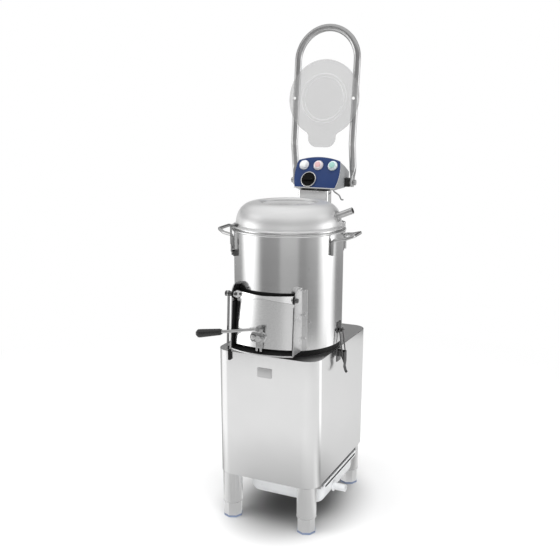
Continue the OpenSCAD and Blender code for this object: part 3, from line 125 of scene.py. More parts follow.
class Finish(Nodes):
    """A node material around one Principled shader."""

    def __init__(self, name, colour, rough, metal=0.0, **sockets):
        self.mat = bpy.data.materials.new(name)
        self.mat.use_nodes = True
        super().__init__(self.mat.node_tree)
        self.bsdf = self.tree.nodes["Principled BSDF"]
        self.put("Base Color", (*colour, 1.0))
        self.put("Roughness", rough)
        self.put("Metallic", metal)
        for socket, value in sockets.items():
            self.put(socket.replace("_", " "), value)
        self.colour, self.height = colour, None

    def put(self, socket, value):
        self.bsdf.inputs[socket].default_value = value

    def space(self, stretch=(1, 1, 1), shift=(0, 0, 0)):
        """Object coordinates in metres, scaled along each axis and then shifted."""
        mapped = self.node("ShaderNodeMapping", Scale=stretch, Location=shift)
        self.link(self.coordinates("Object"), mapped.inputs["Vector"])
        return mapped.outputs["Vector"]

    def noise(self, scale, detail, stretch=(1, 1, 1)):
        made = self.node("ShaderNodeTexNoise", Scale=scale, Detail=detail, Roughness=0.55)
        self.link(self.space(stretch), made.inputs["Vector"])
        return made.outputs["Fac"]

    def grains(self, scale):
        made = self.node("ShaderNodeTexVoronoi", Scale=scale)
        self.link(self.space(), made.inputs["Vector"])
        return made.outputs["Distance"]

    def tint(self, fac, dark, light=None, in_low=0.3, in_high=0.7, curve="LINEAR"):
        """Base colour from dark to light along a value. By default the light one is the finish's own."""
        ramp = self.node("ShaderNodeValToRGB")
        ramp.color_ramp.interpolation = curve
        stops = ((in_low, dark), (in_high, light or self.colour))
        for element, (place, colour) in zip(ramp.color_ramp.elements, stops):
            element.position = place
            element.color = (*colour, 1)
        self.link(fac, ramp.inputs["Fac"])
        self.link(ramp.outputs["Color"], self.bsdf.inputs["Base Color"])

    def gloss(self, fac, low, high):
        """Roughness from low to high along a noise."""
        self.link(self.spread(fac, low, high), self.bsdf.inputs["Roughness"])

    def bump(self, fac, depth, strength):
        """Adds relief of that depth in metres."""
        made = self.node("ShaderNodeBump", Strength=strength, Distance=depth)
        self.link(fac, made.inputs["Height"])
        if self.height is not None:
            self.link(self.height, made.inputs["Normal"])
        self.height = made.outputs["Normal"]
        self.link(self.height, self.bsdf.inputs["Normal"])


def grey(v):
    return (v, v, v)


def steel(name, value, low, high, brush, depth=4e-6, tone=0.93, metal=1.0):
    """Polished or brushed metal. Its lines run along the axes on which brush is small."""
    made = Finish(name, grey(value), (low + high) / 2, metal)
    lines = made.noise(1.0, 4.0, brush)
    smudge = made.noise(9.0, detail=4.0)
    made.tint(smudge, grey(value * tone))
    made.gloss(lines, low, high)
    if depth:
        made.bump(lines, depth, 0.6)
    return made


def plastic(name, colour, low, high, grain=900, depth=1.5e-5, shade=0.86, **sockets):
    made = Finish(name, colour, (low + high) / 2, **sockets)
    made.tint(made.noise(22, detail=4.0), tuple(c * shade for c in colour))
    made.gloss(made.noise(60, detail=5.0), low, high)
    made.bump(made.noise(grain, detail=2.0), depth, 0.5)
    return made


ROUND = (3.0, 3.0, 1400.0)      # lines round the drum
UPRIGHT = (900.0, 900.0, 3.0)   # lines up the cabinet
ACROSS = (3.0, 900.0, 900.0)    # lines along X
EVEN = (160.0, 160.0, 160.0)    # buffed, with no direction

FIN = {
    "drum": steel("steel_drum", 0.80, 0.13, 0.20, ROUND),
    "sheet": steel("steel_cabinet", 0.83, 0.13, 0.18, UPRIGHT, 2e-6, 0.97),
    "top": steel("steel_top", 0.84, 0.28, 0.36, ACROSS, 4e-6, 0.94),
    "polish": steel("steel_polished", 0.80, 0.08, 0.15, EVEN, 2e-6),
    "door": steel("steel_door", 0.82, 0.24, 0.28, ACROSS, 0, 0.97),
    "satin": steel("steel_satin", 0.72, 0.26, 0.38, EVEN, 5e-6),
    "inner": steel("steel_plain", 0.60, 0.35, 0.50, ACROSS, 8e-6, 0.85),
    "leg": steel("steel_leg", 0.82, 0.20, 0.28, UPRIGHT, 2e-6, 0.96),
    "latch": steel("steel_latch", 0.17, 0.18, 0.30, EVEN, 2e-6, 0.7),
    "rod": steel("steel_rod", 0.58, 0.10, 0.18, EVEN, 2e-6, 0.9),
    "strap": steel("steel_strap", 0.92, 0.14, 0.22, ACROSS, 0, 0.97),
    "insert": steel("steel_insert", 0.86, 0.30, 0.42, UPRIGHT, 3e-6, 0.9),
    "tube": steel("steel_tube", 0.56, 0.32, 0.40, EVEN, 0, 0.97),
    "dome": steel("aluminium_spun", 0.62, 0.29, 0.31, ROUND, 0, 0.98, metal=0.55),
    # the dome's spun aluminium again, painted far lighter and without metal: painted light inside the filling
    # opening
    "neck": steel("aluminium_neck_painted_light", 0.95, 0.34, 0.38, ROUND, 0, 0.99, metal=0.0),
    "clip": steel("steel_clip", 0.34, 0.20, 0.30, EVEN, 2e-6, 0.8),
    "toggle": steel("steel_toggle", 0.11, 0.34, 0.46, EVEN, 3e-6, 0.7),
}


def cast_metal(name, value, low, high):
    made = Finish(name, grey(value), 0.5, 1.0)
    made.tint(made.noise(45, detail=6.0), grey(value * 0.72))
    made.gloss(made.noise(120, detail=5.0), low, high)
    made.bump(made.noise(420, detail=3.0), 5e-5, 0.6)
    made.bump(made.grains(160), 6e-5, 0.2)
    return made


FIN["cast"] = cast_metal("alloy_cast", 0.62, 0.12, 0.26)
FIN["iron"] = cast_metal("iron_machined", 0.30, 0.35, 0.55)
FIN["housing"] = cast_metal("alloy_housing", 0.48, 0.40, 0.60)
FIN["black"] = plastic("plastic_black", grey(0.012), 0.22, 0.34)
FIN["knob"] = plastic("plastic_knob", grey(0.004), 0.45, 0.55, Specular_IOR_Level=0.12)
FIN["rubber"] = plastic("rubber_black", grey(0.009), 0.45, 0.62, 500, 6e-5, 0.7, Specular_IOR_Level=0.2)
FIN["basin"] = plastic("plastic_grey", (0.82, 0.83, 0.84), 0.26, 0.40, 700, 2e-5, 0.95, Coat_Weight=0.2)
FIN["casing"] = plastic("plastic_casing", (0.33, 0.34, 0.35), 0.30, 0.36, 800, 1e-5, 0.99, Coat_Weight=0.3)
FIN["pad"] = plastic("plastic_pad", (0.25, 0.31, 0.45), 0.30, 0.45, 500, 3e-5, 0.85)
FIN["blue"] = plastic("film_blue", (0.014, 0.036, 0.125), 0.30, 0.40, 1300, 6e-6, 0.90,
                      Specular_IOR_Level=0.25)
FIN["motor"] = plastic("paint_blue", (0.03, 0.10, 0.20), 0.30, 0.50, 300, 5e-5, 0.8)
FIN["paint"] = plastic("paint_grey", grey(0.16), 0.35, 0.55, 300, 5e-5, 0.8)
FIN["white"] = plastic("plastic_white", (0.80, 0.80, 0.79), 0.25, 0.35)
FIN["cap_white"] = plastic("cap_white", (0.72, 0.73, 0.72), 0.30, 0.42)
FIN["cap_red"] = plastic("cap_red", (0.60, 0.37, 0.38), 0.30, 0.42, 900, 1.5e-5, 0.92)
FIN["cap_green"] = plastic("cap_green", (0.27, 0.48, 0.43), 0.30, 0.42, 900, 1.5e-5, 0.92)
FIN["boot_white"] = plastic("boot_white", (0.66, 0.67, 0.70), 0.22, 0.34, 500, 2e-5, 0.96)
FIN["boot_red"] = plastic("boot_red", (0.66, 0.62, 0.64), 0.22, 0.34, 500, 2e-5, 0.96)
FIN["boot_green"] = plastic("boot_green", (0.58, 0.66, 0.67), 0.22, 0.34, 500, 2e-5, 0.96)
FIN["plate"] = steel("plate_blank", 0.62, 0.30, 0.42, ACROSS, 6e-6)


def abrasive():
    made = Finish("abrasive_grit", (0.10, 0.09, 0.085), 0.85)
    grit = made.grains(420)
    made.tint(grit, (0.035, 0.032, 0.03), (0.15, 0.135, 0.12), 0.1, 0.8)
    made.gloss(made.noise(300, detail=5.0), 0.7, 0.95)
    made.bump(grit, 1.2e-3, 0.9)
    return made


def belt():
    made = Finish("belt_rubber", grey(0.02), 0.7)
    weave = made.noise(1.0, 2.0, (500, 500, 1600))
    made.tint(weave, grey(0.010), grey(0.035))
    made.gloss(weave, 0.6, 0.8)
    made.bump(weave, 8e-5, 0.6)
    return made


def milky():
    """The guard's translucent lid."""
    made = Finish("lid_milky", grey(0.36), 0.2, Alpha=0.36, Coat_Weight=0.25)
    made.tint(made.noise(7, detail=3.0), grey(0.33))
    made.gloss(made.noise(30, detail=4.0), 0.14, 0.26)
    made.bump(made.noise(60, detail=2.0), 4e-5, 0.4)
    return made


# white glossy rings laid on the lid's pressed ring: painted highlights along its crest and its foot
FIN["bead"] = plastic("lid_highlight_bead", (0.92, 0.92, 0.92), 0.10, 0.16, 500, 1e-5, 0.99, Alpha=0.5, Coat_Weight=0.5)
FIN["abrasive"] = abrasive()
FIN["belt"] = belt()
FIN["lid"] = milky()

NODE_FINISH = {
    "sheet": "cabinet_shell",
    "top": "top_plate",
    "inner": "back_panel base_frame waste_pipe chamber_floor main_bearings main_shaft disc_nut",
    "leg": "leg_sleeves",
    "insert": "foot_inserts",
    "pad": "foot_pads",
    "black": "cable_gland pivot_blocks lever_grip",
    "knob": "timer_knob",
    "rubber": "base_ring shaft_seal door_gasket rubber_buffers",
    "drum": "drum_shell",
    "abrasive": "abrasive_liner abrasive_disc",
    "housing": "bearing_housing",
    "motor": "motor_body",
    "paint": "motor_bracket",
    "belt": "drive_belt",
    "iron": "driven_pulley motor_pulley",
    "satin": "chute_frame water_inlet timer_bezel",
    "latch": "latch_bases latch_catches latch_bail_right latch_bail_left hinge_pins",
    "clip": "lid_clip_right lid_clip_left",
    "rod": "drum_handles pivot_bolts lever_rod side_stay",
    "polish": "column",
    "dome": "dome_lid",
    "casing": "head_casing",
    "blue": "control_panel",
    "door": "door_panel",
    "strap": "door_strap lever_pivot",
    "cast": "lever_hub",
    "tube": "guard_arch",
    "lid": "lid_disc",
    "cap_white": "button_white",
    "cap_red": "button_red",
    "cap_green": "button_green",
    "basin": "waste_basin drain_stub",
}

for finish, names in NODE_FINISH.items():
    for name in names.split():
        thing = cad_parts[name]
        thing.data.materials.clear()
        thing.data.materials.append(FIN[finish].mat)

# ---------------------------------------------------------------- mesh tools, in mm around the drum's axis

DRUM_TOP, DRUM_R = 917, 165       # the drum's rim and its wall's radius
LEVER_Z = 618                     # the lever's pivot on the door
GUARD_PIVOT = (0, 270, 1026)
PANEL_EDGE = (0, 192, 1009)       # the middle of the control panel's lower edge
ARM_ROOT = (0, -209.029, LEVER_Z + 28)
ARM_TURN = math.radians(100.5)    # of the lever's rod, from straight up towards -X

# frames: the machine's own, the open guard's, the control panel's and the lever rod's
PLAIN = Matrix.Identity(4)
GUARD = Matrix.Translation(GUARD_PIVOT) @ Matrix.Rotation(math.pi / 2 - LEAN, 4, "X")
PANEL = Matrix.Translation(PANEL_EDGE) @ Matrix.Rotation(math.pi / 2 - TILT, 4, "X")
ARM = Matrix.Translation(ARM_ROOT) @ Matrix.Rotation(-ARM_TURN, 4, "Y")


def facing(place, normal):
    """The frame whose Z axis is the normal."""
    turn = Vector(normal).to_track_quat("Z", "Y").to_matrix().to_4x4()
    return Matrix.Translation(place) @ turn


def shaded(mesh, degrees, weld=False):
    """Turns the faces outwards and shades them smooth, with the edges over that angle kept sharp."""
    limit = math.radians(degrees)
    bm = bmesh.new()
    bm.from_mesh(mesh)
    if weld:
        bmesh.ops.remove_doubles(bm, verts=bm.verts, dist=1e-6)
    bmesh.ops.recalc_face_normals(bm, faces=bm.faces)
    for face in bm.faces:
        face.smooth = True
    for edge in bm.edges:
        edge.smooth = len(edge.link_faces) == 2 and edge.calc_face_angle(0.0) < limit
    bm.to_mesh(mesh)
    bm.free()


def placed(name, data):
    """A new object in the scene."""
    thing = bpy.data.objects.new(name, data)
    bpy.context.scene.collection.objects.link(thing)
    return thing


def mesh_of(name, shape, where):
    """A mesh from points and faces in mm, given in the frame where."""
    points, faces = shape
    mesh = bpy.data.meshes.new(name)
    mesh.from_pydata([at(*(where @ Vector(p))) for p in points], [], faces)
    return mesh


def piece(name, shape, finish, body, where=PLAIN, instead=(), sharp=38):
    """Adds a form to a body as a piece of its own, which may stand for CAD nodes."""
    return dressed(name, mesh_of(name, shape, where), finish, body, instead, sharp)


def dressed(name, mesh, finish, body, instead, sharp):
    """Adds a mesh to a body as a piece."""
    shaded(mesh, sharp)
    mesh.materials.clear()
    mesh.materials.append(FIN[finish].mat)
    thing = placed(name, mesh)
    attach(thing, body)
    if instead:
        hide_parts(*instead)
    return thing


def lathe(profile, steps, closed=False):
    """A profile of (radius, height) turned about Z. A closed profile comes back to its start."""
    points, faces, rows = [], [], []
    for r, z in profile:
        if r < 1e-6:
            rows.append([len(points)] * steps)
            points.append((0, 0, z))
        else:
            rows.append(list(range(len(points), len(points) + steps)))
            points += [(x, y, z) for x, y in circle(r, steps)]
    for low, high in zip(rows, rows[1:] + rows[:1] if closed else rows[1:]):
        for i in range(steps):
            j = (i + 1) % steps
            corner = []
            for v in (low[i], low[j], high[j], high[i]):
                if v not in corner:
                    corner.append(v)
            if len(corner) > 2:
                faces.append(corner)
    return points, faces


def arc(cx, cy, r, start, end, steps):
    """Points on an arc between two angles in degrees."""
    return [(cx + r * math.cos(math.radians(start + (end - start) * i / steps)),
             cy + r * math.sin(math.radians(start + (end - start) * i / steps))) for i in range(steps + 1)]


def bends(points, radii, steps=10):
    """A path with each inner corner rounded, by one radius or by a list of them."""
    path = [Vector(points[0])]
    for i in range(1, len(points) - 1):
        here, back, on = Vector(points[i]), Vector(points[i - 1]), Vector(points[i + 1])
        a, b = (back - here).normalized(), (on - here).normalized()
        half = a.angle(b) / 2
        r = radii[i - 1] if isinstance(radii, (list, tuple)) else radii
        reach = r / math.tan(half)
        centre = here + (a + b).normalized() * (r / math.sin(half))
        start, end = here + a * reach - centre, here + b * reach - centre
        for k in range(steps + 1):
            path.append(centre + start.slerp(end, k / steps).normalized() * r)
    path.append(Vector(points[-1]))
    return path


def sweep(path, section, side=(0, 0, 1)):
    """A closed bar along a path. section(i) gives its cross-section there as (side, other) offsets."""
    points, faces = [], []
    side = Vector(side)
    count = len(section(0))
    for i, p in enumerate(path):
        ahead = (path[min(i + 1, len(path) - 1)] - path[max(i - 1, 0)]).normalized()
        side = (side - ahead * side.dot(ahead)).normalized()
        other = ahead.cross(side)
        points += [p + side * u + other * v for u, v in section(i)]
    for i in range(len(path) - 1):
        for k in range(count):
            a, b = i * count + k, i * count + (k + 1) % count
            faces.append((a, b, b + count, a + count))
    faces.append(tuple(range(count)))
    faces.append(tuple(range((len(path) - 1) * count, len(path) * count)))
    return points, faces


def round_bar(path, r, sides=24, side=(0, 0, 1)):
    ring = circle(r, sides)
    return sweep(path, lambda i: ring, side)


def plate(outlines, low, high, chamfer=0.0):
    """A flat plate between two heights: the first outline is its edge and the others are its holes."""
    bm = bmesh.new()
    edges = []
    for loop in outlines:
        made = [bm.verts.new((x, y, high)) for x, y in loop]
        edges += [bm.edges.new((made[i], made[(i + 1) % len(made)])) for i in range(len(made))]
    top = [f for f in bmesh.ops.triangle_fill(bm, use_beauty=True, edges=edges)["geom"]
           if isinstance(f, bmesh.types.BMFace)]
    drawn = bmesh.ops.extrude_face_region(bm, geom=top)
    for v in (g for g in drawn["geom"] if isinstance(g, bmesh.types.BMVert)):
        v.co.z = low
    bmesh.ops.recalc_face_normals(bm, faces=bm.faces)
    if chamfer:
        rims = [e for e in bm.edges if len(e.link_faces) == 2 and e.calc_face_angle(0.0) > 1.2
                and all(abs(v.co.z - high) < 1e-6 for v in e.verts)]
        bmesh.ops.bevel(bm, geom=rims, offset=chamfer, segments=3, profile=0.5, affect="EDGES")
    bm.verts.index_update()
    shape = [tuple(v.co) for v in bm.verts], [[v.index for v in f.verts] for f in bm.faces]
    bm.free()
    return shape


def circle(r, steps, x=0, y=0):
    return [(x + r * math.cos(2 * math.pi * i / steps), y + r * math.sin(2 * math.pi * i / steps))
            for i in range(steps)]


def rounded_box(low, high, r, steps=6):
    (x0, y0), (x1, y1) = low, high
    return (arc(x1 - r, y1 - r, r, 0, 90, steps) + arc(x0 + r, y1 - r, r, 90, 180, steps)
            + arc(x0 + r, y0 + r, r, 180, 270, steps) + arc(x1 - r, y0 + r, r, 270, 360, steps))


def joined(*shapes):
    """Several closed forms as one piece."""
    points, faces = [], []
    for more, sides in shapes:
        faces += [[v + len(points) for v in f] for f in sides]
        points += [tuple(p) for p in more]
    return points, faces


def moved(shape, where):
    return [tuple(where @ Vector(p)) for p in shape[0]], shape[1]


def screw_head(r, h):
    """A pan head with a cross recess, its seat at 0 and its crown at h."""
    steps, rings = 48, 12
    fall, recess, recess_r, recess_w = 0.55, 0.5 * h, 0.62, 0.16 * r
    points, faces, rows = [], [], []
    for k in range(rings + 1):
        part = k / rings
        row = []
        for i in range(steps if k else 1):
            t = 2 * math.pi * i / steps
            u, v = r * part * math.cos(t), r * part * math.sin(t)
            inside = part < recess_r and (abs(u) < recess_w or abs(v) < recess_w)
            row.append(len(points))
            points.append((u, v, h * (1 - fall * part ** 3) - (recess if inside else 0)))
        rows.append(row)
    rows.append(list(range(len(points), len(points) + steps)))
    points += [(x, y, 0) for x, y in circle(r, steps)]
    for i in range(steps):
        faces.append((rows[0][0], rows[1][i], rows[1][(i + 1) % steps]))
    for low, high in zip(rows[1:], rows[2:]):
        for i in range(steps):
            j = (i + 1) % steps
            faces.append((low[i], high[i], high[j], low[j]))
    faces.append(tuple(reversed(rows[-1])))
    return points, faces


def cut(thing, shape, where):
    """Takes a form out of a piece."""
    mesh = mesh_of("cutter", shape, where)
    shaded(mesh, 50)
    cutter = placed("cutter", mesh)
    step = thing.modifiers.new("cut", "BOOLEAN")
    step.operation, step.solver, step.object = "DIFFERENCE", "EXACT", cutter
    frozen(thing)
    bpy.data.objects.remove(cutter)
    bpy.data.meshes.remove(mesh)


def frozen(thing):
    """Bakes a piece's modifiers into its mesh."""
    bpy.context.view_layer.update()
    seen = thing.evaluated_get(bpy.context.evaluated_depsgraph_get())
    mesh = bpy.data.meshes.new_from_object(seen)
    thing.modifiers.clear()
    thing.data = mesh


def cast_copy(name, node, grain, rounds, finish, body):
    """A piece with a CAD node's form and the soft edges of a casting."""
    thing = placed("blank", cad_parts[node].data.copy())
    remesh = thing.modifiers.new("grain", "REMESH")
    remesh.mode, remesh.voxel_size = "VOXEL", grain * MM
    relax = thing.modifiers.new("relax", "SMOOTH")
    relax.factor, relax.iterations = 0.5, rounds
    frozen(thing)
    mesh = thing.data
    bpy.data.objects.remove(thing)
    return dressed(name, mesh, finish, body, (node,), 60)


# ---------------------------------------------------------------- drum, dome and handles

DOME_MOUTH = 92                   # the crest's radius, where the sheet turns down into the filling opening
DOME_REACH, DOME_RISE = 67, 72    # the shell's reach outside that radius and its rise above the drum
CURL_R = 8                        # the bend into the opening
CURL_Z = DRUM_TOP + DOME_RISE - CURL_R


def dome_curve(steps, inset=0):
    """The shell's section from just above its foot to its crest."""
    fullness = 2 / 2.4
    points = []
    for i in range(4, steps + 1):
        t = math.radians(90 * (i / steps) ** 1.25)
        points.append((DOME_MOUTH + (DOME_REACH - inset) * math.cos(t) ** fullness,
                       DRUM_TOP + (DOME_RISE - inset) * math.sin(t) ** fullness))
    return points


def dome_profile():
    """The spun dome's section: rolled rim, foot, shell and the curl round the filling opening."""
    sheet = 3
    rim = [(159, 917.1)] + arc(168.6, 918.5, 1.4, -90, 90, 6) + [(162.4, 919.9)]
    foot = arc(162.4, 922.3, 2.4, -90, -180, 5)[1:]
    curl = arc(DOME_MOUTH, CURL_Z, CURL_R, 90, 180, 12)[1:]
    under = arc(DOME_MOUTH, CURL_Z, CURL_R - sheet, 180, 90, 8)
    inner = dome_curve(40, sheet)[::-1]
    return rim + foot + dome_curve(56) + curl + under + inner[1:] + [(156, 920)]


piece("dome_shell", lathe(dome_profile(), 192, closed=True), "dome", "machine",
      instead=("dome_lid",), sharp=50)

# a ring down the inside of the filling opening in the lighter neck finish: painted light on the opening's
# inner wall
NECK_IN, NECK_OUT, NECK_LOW = 84.0, 87.0, 963.6
neck_end = arc((NECK_IN + NECK_OUT) / 2, NECK_LOW, (NECK_OUT - NECK_IN) / 2, 180, 360, 6)
neck = [(NECK_IN, CURL_Z), (NECK_IN, NECK_LOW)] + neck_end[1:] + [(NECK_OUT, CURL_Z)]
piece("dome_neck", lathe(neck, 192, closed=True), "neck", "machine", sharp=50)


def handle(turn):
    """A bent-rod handle on the drum's wall, turned that many degrees from +X."""
    half, low, top = 66, 846, 889
    wall = math.sqrt((DRUM_R + 5) ** 2 - half ** 2)
    shoulder, tip = (DRUM_R + 23.5, half - 10, top + 4), (DRUM_R + 47, 38.5, 901)
    ends = [(wall, half, low), (wall, half, top), shoulder, tip]
    mirrored = [(x, -y, z) for x, y, z in reversed(ends)]
    path = bends(ends + mirrored, [9, 14, 13, 13, 14, 9])
    return moved(round_bar(path, 4.98, side=(1, 0, 0)), Matrix.Rotation(math.radians(turn), 4, "Z"))


piece("handle_rods", joined(handle(5), handle(185)), "rod", "machine",
      instead=("drum_handles",), sharp=60)

# a point in each screw's direction, at the screw's height
WALL_SCREWS = [(119, -115.7, 811.7), (120.3, -114.4, 656.7), (-125.9, -108, 806), (-127, 106, 806),
               (127, 106, 806)]
FLANGE_SCREWS = [(side * 108.5, -125.5, z) for side in (-1, 1) for z in (753, 679, 610)]


def wall_screw(place, r, h, lift):
    """A screw on the drum's wall, in the direction of place and at its height."""
    x, y, z = place
    out = Vector((x, y, 0)).normalized()
    return moved(screw_head(r, h), facing(out * (DRUM_R + lift) + Vector((0, 0, z)), out))


piece("wall_screws", joined(*(wall_screw(place, 3.6, 2.0, 0.0) for place in WALL_SCREWS)), "rod", "machine",
      sharp=30)
piece("flange_screws", joined(*(wall_screw(place, 3.0, 1.8, 1.5) for place in FLANGE_SCREWS)), "satin",
      "machine", sharp=30)

# ---------------------------------------------------------------- guard arch and lid, in the guard's frame

SPAN = 100                        # half the distance between the tube's two sides
TUBE_R = 11
EYE_R, EYE_HALF = 15.0, 4         # the flat ends' radius and half their thickness
SET_OFF = 22                      # from the pivots to the plane of the arch
CROWN_Y = 375                     # the middle of the arch's round top
LID_Y, LID_Z, LID_THICK = 258, 33.1, 3.3
LID = GUARD @ Matrix.Translation((0, LID_Y, LID_Z))


def guard_path():
    """The bent tube's centre line from one pivot to the other, in the guard's frame."""
    side = [(SPAN, y, 0) for y in (-14.6, -14, -12.5, -10, -6, 0, 6, 12, 18, 22, 26, 30, 34)]
    knee = bends([(SPAN, 34, 0), (SPAN, 52, 3), (SPAN, 117, SET_OFF), (SPAN, 160, SET_OFF)], 60, 8)[1:]
    leg = [(SPAN, y, SET_OFF) for y in range(200, 361, 40)]
    crown = [(x, y + CROWN_Y, SET_OFF) for x, y in arc(0, 0, SPAN, 0, 180, 60)]
    right = [Vector(p) for p in side + knee + leg]
    left = [Vector((-p.x, p.y, p.z)) for p in reversed(right)]
    return right + [Vector(p) for p in crown] + left


GUARD_PATH = guard_path()


def guard_section(i):
    """Flat at the pivots, round from just above them."""
    flat_end, change = 14, 34
    y = GUARD_PATH[i].y
    grow = min(max((y - flat_end) / change, 0.0), 1.0)
    grow = grow * grow * (3 - 2 * grow)
    wide = math.sqrt(EYE_R * EYE_R - y * y) if y < 0 else EYE_R
    wide, thick = wide + (TUBE_R - wide) * grow, EYE_HALF + (TUBE_R - EYE_HALF) * grow
    power = 2 / (5 - 3 * grow)
    ring = []
    for k in range(40):
        t = 2 * math.pi * k / 40
        c, s = math.cos(t), math.sin(t)
        ring.append((wide * math.copysign(abs(c) ** power, c), thick * math.copysign(abs(s) ** power, s)))
    return ring


arch = piece("guard_tube", sweep(GUARD_PATH, guard_section), "tube", "guard", GUARD,
             ("guard_arch",), 50)
bore = lathe([(0, -10), (5.06, -10), (5.06, 10), (0, 10)], 48)
for x in (-SPAN, SPAN):
    cut(arch, bore, GUARD @ facing((x, 0, 0), (1, 0, 0)))
shaded(arch.data, 50, weld=True)


def lid_edge():
    """The lid's edge: a disc with a tab whose inner corners are filleted."""
    disc, tab, low, corner, fillet = 119, 47, -152, 30, 14
    drop = -math.sqrt((disc + fillet) ** 2 - (tab + fillet) ** 2)
    meet = math.degrees(math.atan2(drop, tab + fillet))
    around = arc(0, 0, disc, meet, 180 - meet, 120)
    left = arc(-tab - fillet, drop, fillet, -meet, 0, 10)
    foot = (arc(-tab + corner, low + corner, corner, 180, 270, 12)
            + arc(tab - corner, low + corner, corner, 270, 360, 12))
    right = arc(tab + fillet, drop, fillet, 180, 180 + meet, 10)
    return around + left[1:] + foot + right[:-1]


def lid_shape():
    """The lid's plate with a pressed ring round its middle."""
    steps, ring_r = 128, 77
    points, faces = plate([lid_edge(), circle(ring_r, steps)], 0, LID_THICK)
    on_ring = [abs(math.hypot(x, y) - ring_r) < 0.01 for x, y, z in points]
    faces = [f for f in faces if not all(on_ring[v] for v in f)]
    relief = [(ring_r, 0), (75.5, 0.5), (74, 1.0), (72, 1.2), (70, 1.0), (68.5, 0.4), (67, -0.5),
              (65.5, -1.1), (63, -1.3), (30, -1.4), (0, -1.4)]
    for base in (LID_THICK, 0):
        points, faces = joined((points, faces), lathe([(r, base + z) for r, z in relief], steps))
    return points, faces


lid = piece("lid_plate", lid_shape(), "lid", "guard", LID, ("lid_disc",), 50)
shaded(lid.data, 50, weld=True)
# two white beads on the pressed ring: painted highlight arcs
for tag, r, z in (("outer", 76.2, 3.5), ("inner", 66.0, 2.55)):
    piece("lid_highlight_bead_" + tag, lathe(arc(r, z, 0.55, 0, 345, 15), 160, closed=True), "bead", "guard",
          LID, sharp=60)
for tag, x in (("left", -SPAN), ("right", SPAN)):
    piece("lid_screw_" + tag, screw_head(4.6, 0.5), "white", "guard",
          GUARD @ Matrix.Translation((x, LID_Y, LID_Z + LID_THICK + 0.01)), sharp=35)

# ---------------------------------------------------------------- control head, in the panel's frame

CORNER = 9                        # radius of the fascia's corners
FASCIA_MIDDLE = (0, 54)
FASCIA_BOWS = [((83.5, 54), 161), ((-83.5, 54), 161), ((0, -110), 217)]   # the bowed edges' centres and radii
BUTTONS = {"white": -49, "red": 0, "green": 49}
BUTTON_Y = 78
TIMER = (-24, 29)


def fascia(inset):
    """The fascia's edge: bowed sides and top with round corners."""
    pad = CORNER + inset
    middle = Vector(FASCIA_MIDDLE)
    inner = []
    for i in range(2400):
        t = 2 * math.pi * i / 2400
        d = Vector((math.cos(t), math.sin(t)))
        reach = []
        for centre, bow in FASCIA_BOWS:
            r = bow - pad
            f = middle - Vector(centre)
            b = f.dot(d)
            reach.append(-b + math.sqrt(b * b - f.dot(f) + r * r))
        if d.y < -1e-6:
            reach.append((pad - FASCIA_MIDDLE[1]) / d.y)
        inner.append(middle + d * min(reach))
    edge = []
    for i in range(180):
        n = Vector((math.cos(math.radians(2 * i + 1)), math.sin(math.radians(2 * i + 1))))
        best = max(inner, key=lambda p: p.dot(n))
        edge.append(tuple(best + n * CORNER))
    return edge


def panel_holes(room):
    """The holes of the buttons and the timer's shaft, with that much added to their radii."""
    return ([circle(16.0 + room, 72, x, BUTTON_Y) for x in BUTTONS.values()]
            + [circle(6.0 + room, 40, *TIMER)])


piece("panel_plate", plate([fascia(0)] + panel_holes(0), -4, -0.5, 0.35), "satin", "machine",
      PANEL, ("control_panel",), 35)
piece("panel_film", plate([fascia(0.7)] + panel_holes(0.6), -0.49, -0.02, 0.12), "blue", "machine",
      PANEL, sharp=35)
trim = plate([rounded_box((-71, 0.3), (71, 3.4), 1.4)], 0.0, 0.8, 0.3)
piece("fascia_trim", trim, "strap", "machine", PANEL, sharp=35)

BOOT = ([(0, -7), (15.5, -7), (15.5, 0.4)] + arc(14.1, 2.2, 1.4, 0, 90, 5) + [(12.9, 4.4), (12.4, 6.6)]
        + arc(11.2, 6.9, 1.1, 0, 90, 5)[1:] + [(10.4, 8.0), (0, 8.0)])
LENS = ([(0, 8.02), (9.6, 8.02)] + arc(8.9, 8.5, 0.7, -20, 70, 5)
        + [(7.4, 9.5), (5.0, 9.85), (2.5, 9.96), (0, 10.0)])
for tag, x in BUTTONS.items():
    place = PANEL @ Matrix.Translation((x, BUTTON_Y, 0))
    piece("boot_" + tag, lathe(BOOT, 72), "boot_" + tag, "button_" + tag, place,
          ("button_" + tag,), 40)
    piece("lens_" + tag, lathe(LENS, 72), "cap_" + tag, "button_" + tag, place, sharp=45)

ring = (arc(24.4, 3.4, 1.6, 0, 90, 6) + arc(23.6, 4.0, 1.0, 90, 150, 4)
        + [(21.6, 2.6), (21.5, 0.02), (26, 0.02)])
works = [(0, -18), (17, -18), (17, -4.1), (3.2, -4.1), (3.2, -16), (0, -16)]
timer_place = PANEL @ Matrix.Translation((*TIMER, 0))
piece("timer_ring", joined(lathe(ring, 96, closed=True), lathe(works, 64)), "polish", "machine",
      timer_place, ("timer_bezel",), 45)
mark = plate([rounded_box((11, -0.6), (16, 0.6), 0.4)], 10.0, 10.2)
piece("timer_mark", mark, "black", "timer_knob", timer_place)

hook = bends([(49, 230, 1007), (54, 230, 998), (72, 230, 987), (79, 230, 973), (86, 230, 974)], [8, 10, 5])
piece("hose_hook", round_bar(hook, 2.3, 20, (0, 1, 0)), "rod", "machine", sharp=60)

# ---------------------------------------------------------------- lever

cast_copy("hub_casting", "lever_hub", 0.8, 5, "cast", "lever")
grip = ([(0, 121), (7.2, 121)] + arc(6.9, 122, 0.8, -60, 60, 4) + [(8.6, 124.8), (9.6, 127)]
        + [(9.6 + 2.9 * k / 10, 127 + 66 * k / 10) for k in range(1, 11)]
        + arc(8.4, 199.2, 4.1, 0, 82, 8)[1:] + [(8.0, 206.2), (0, 206.6)])
piece("grip_knob", lathe(grip, 96), "black", "lever", ARM, ("lever_grip",), 40)

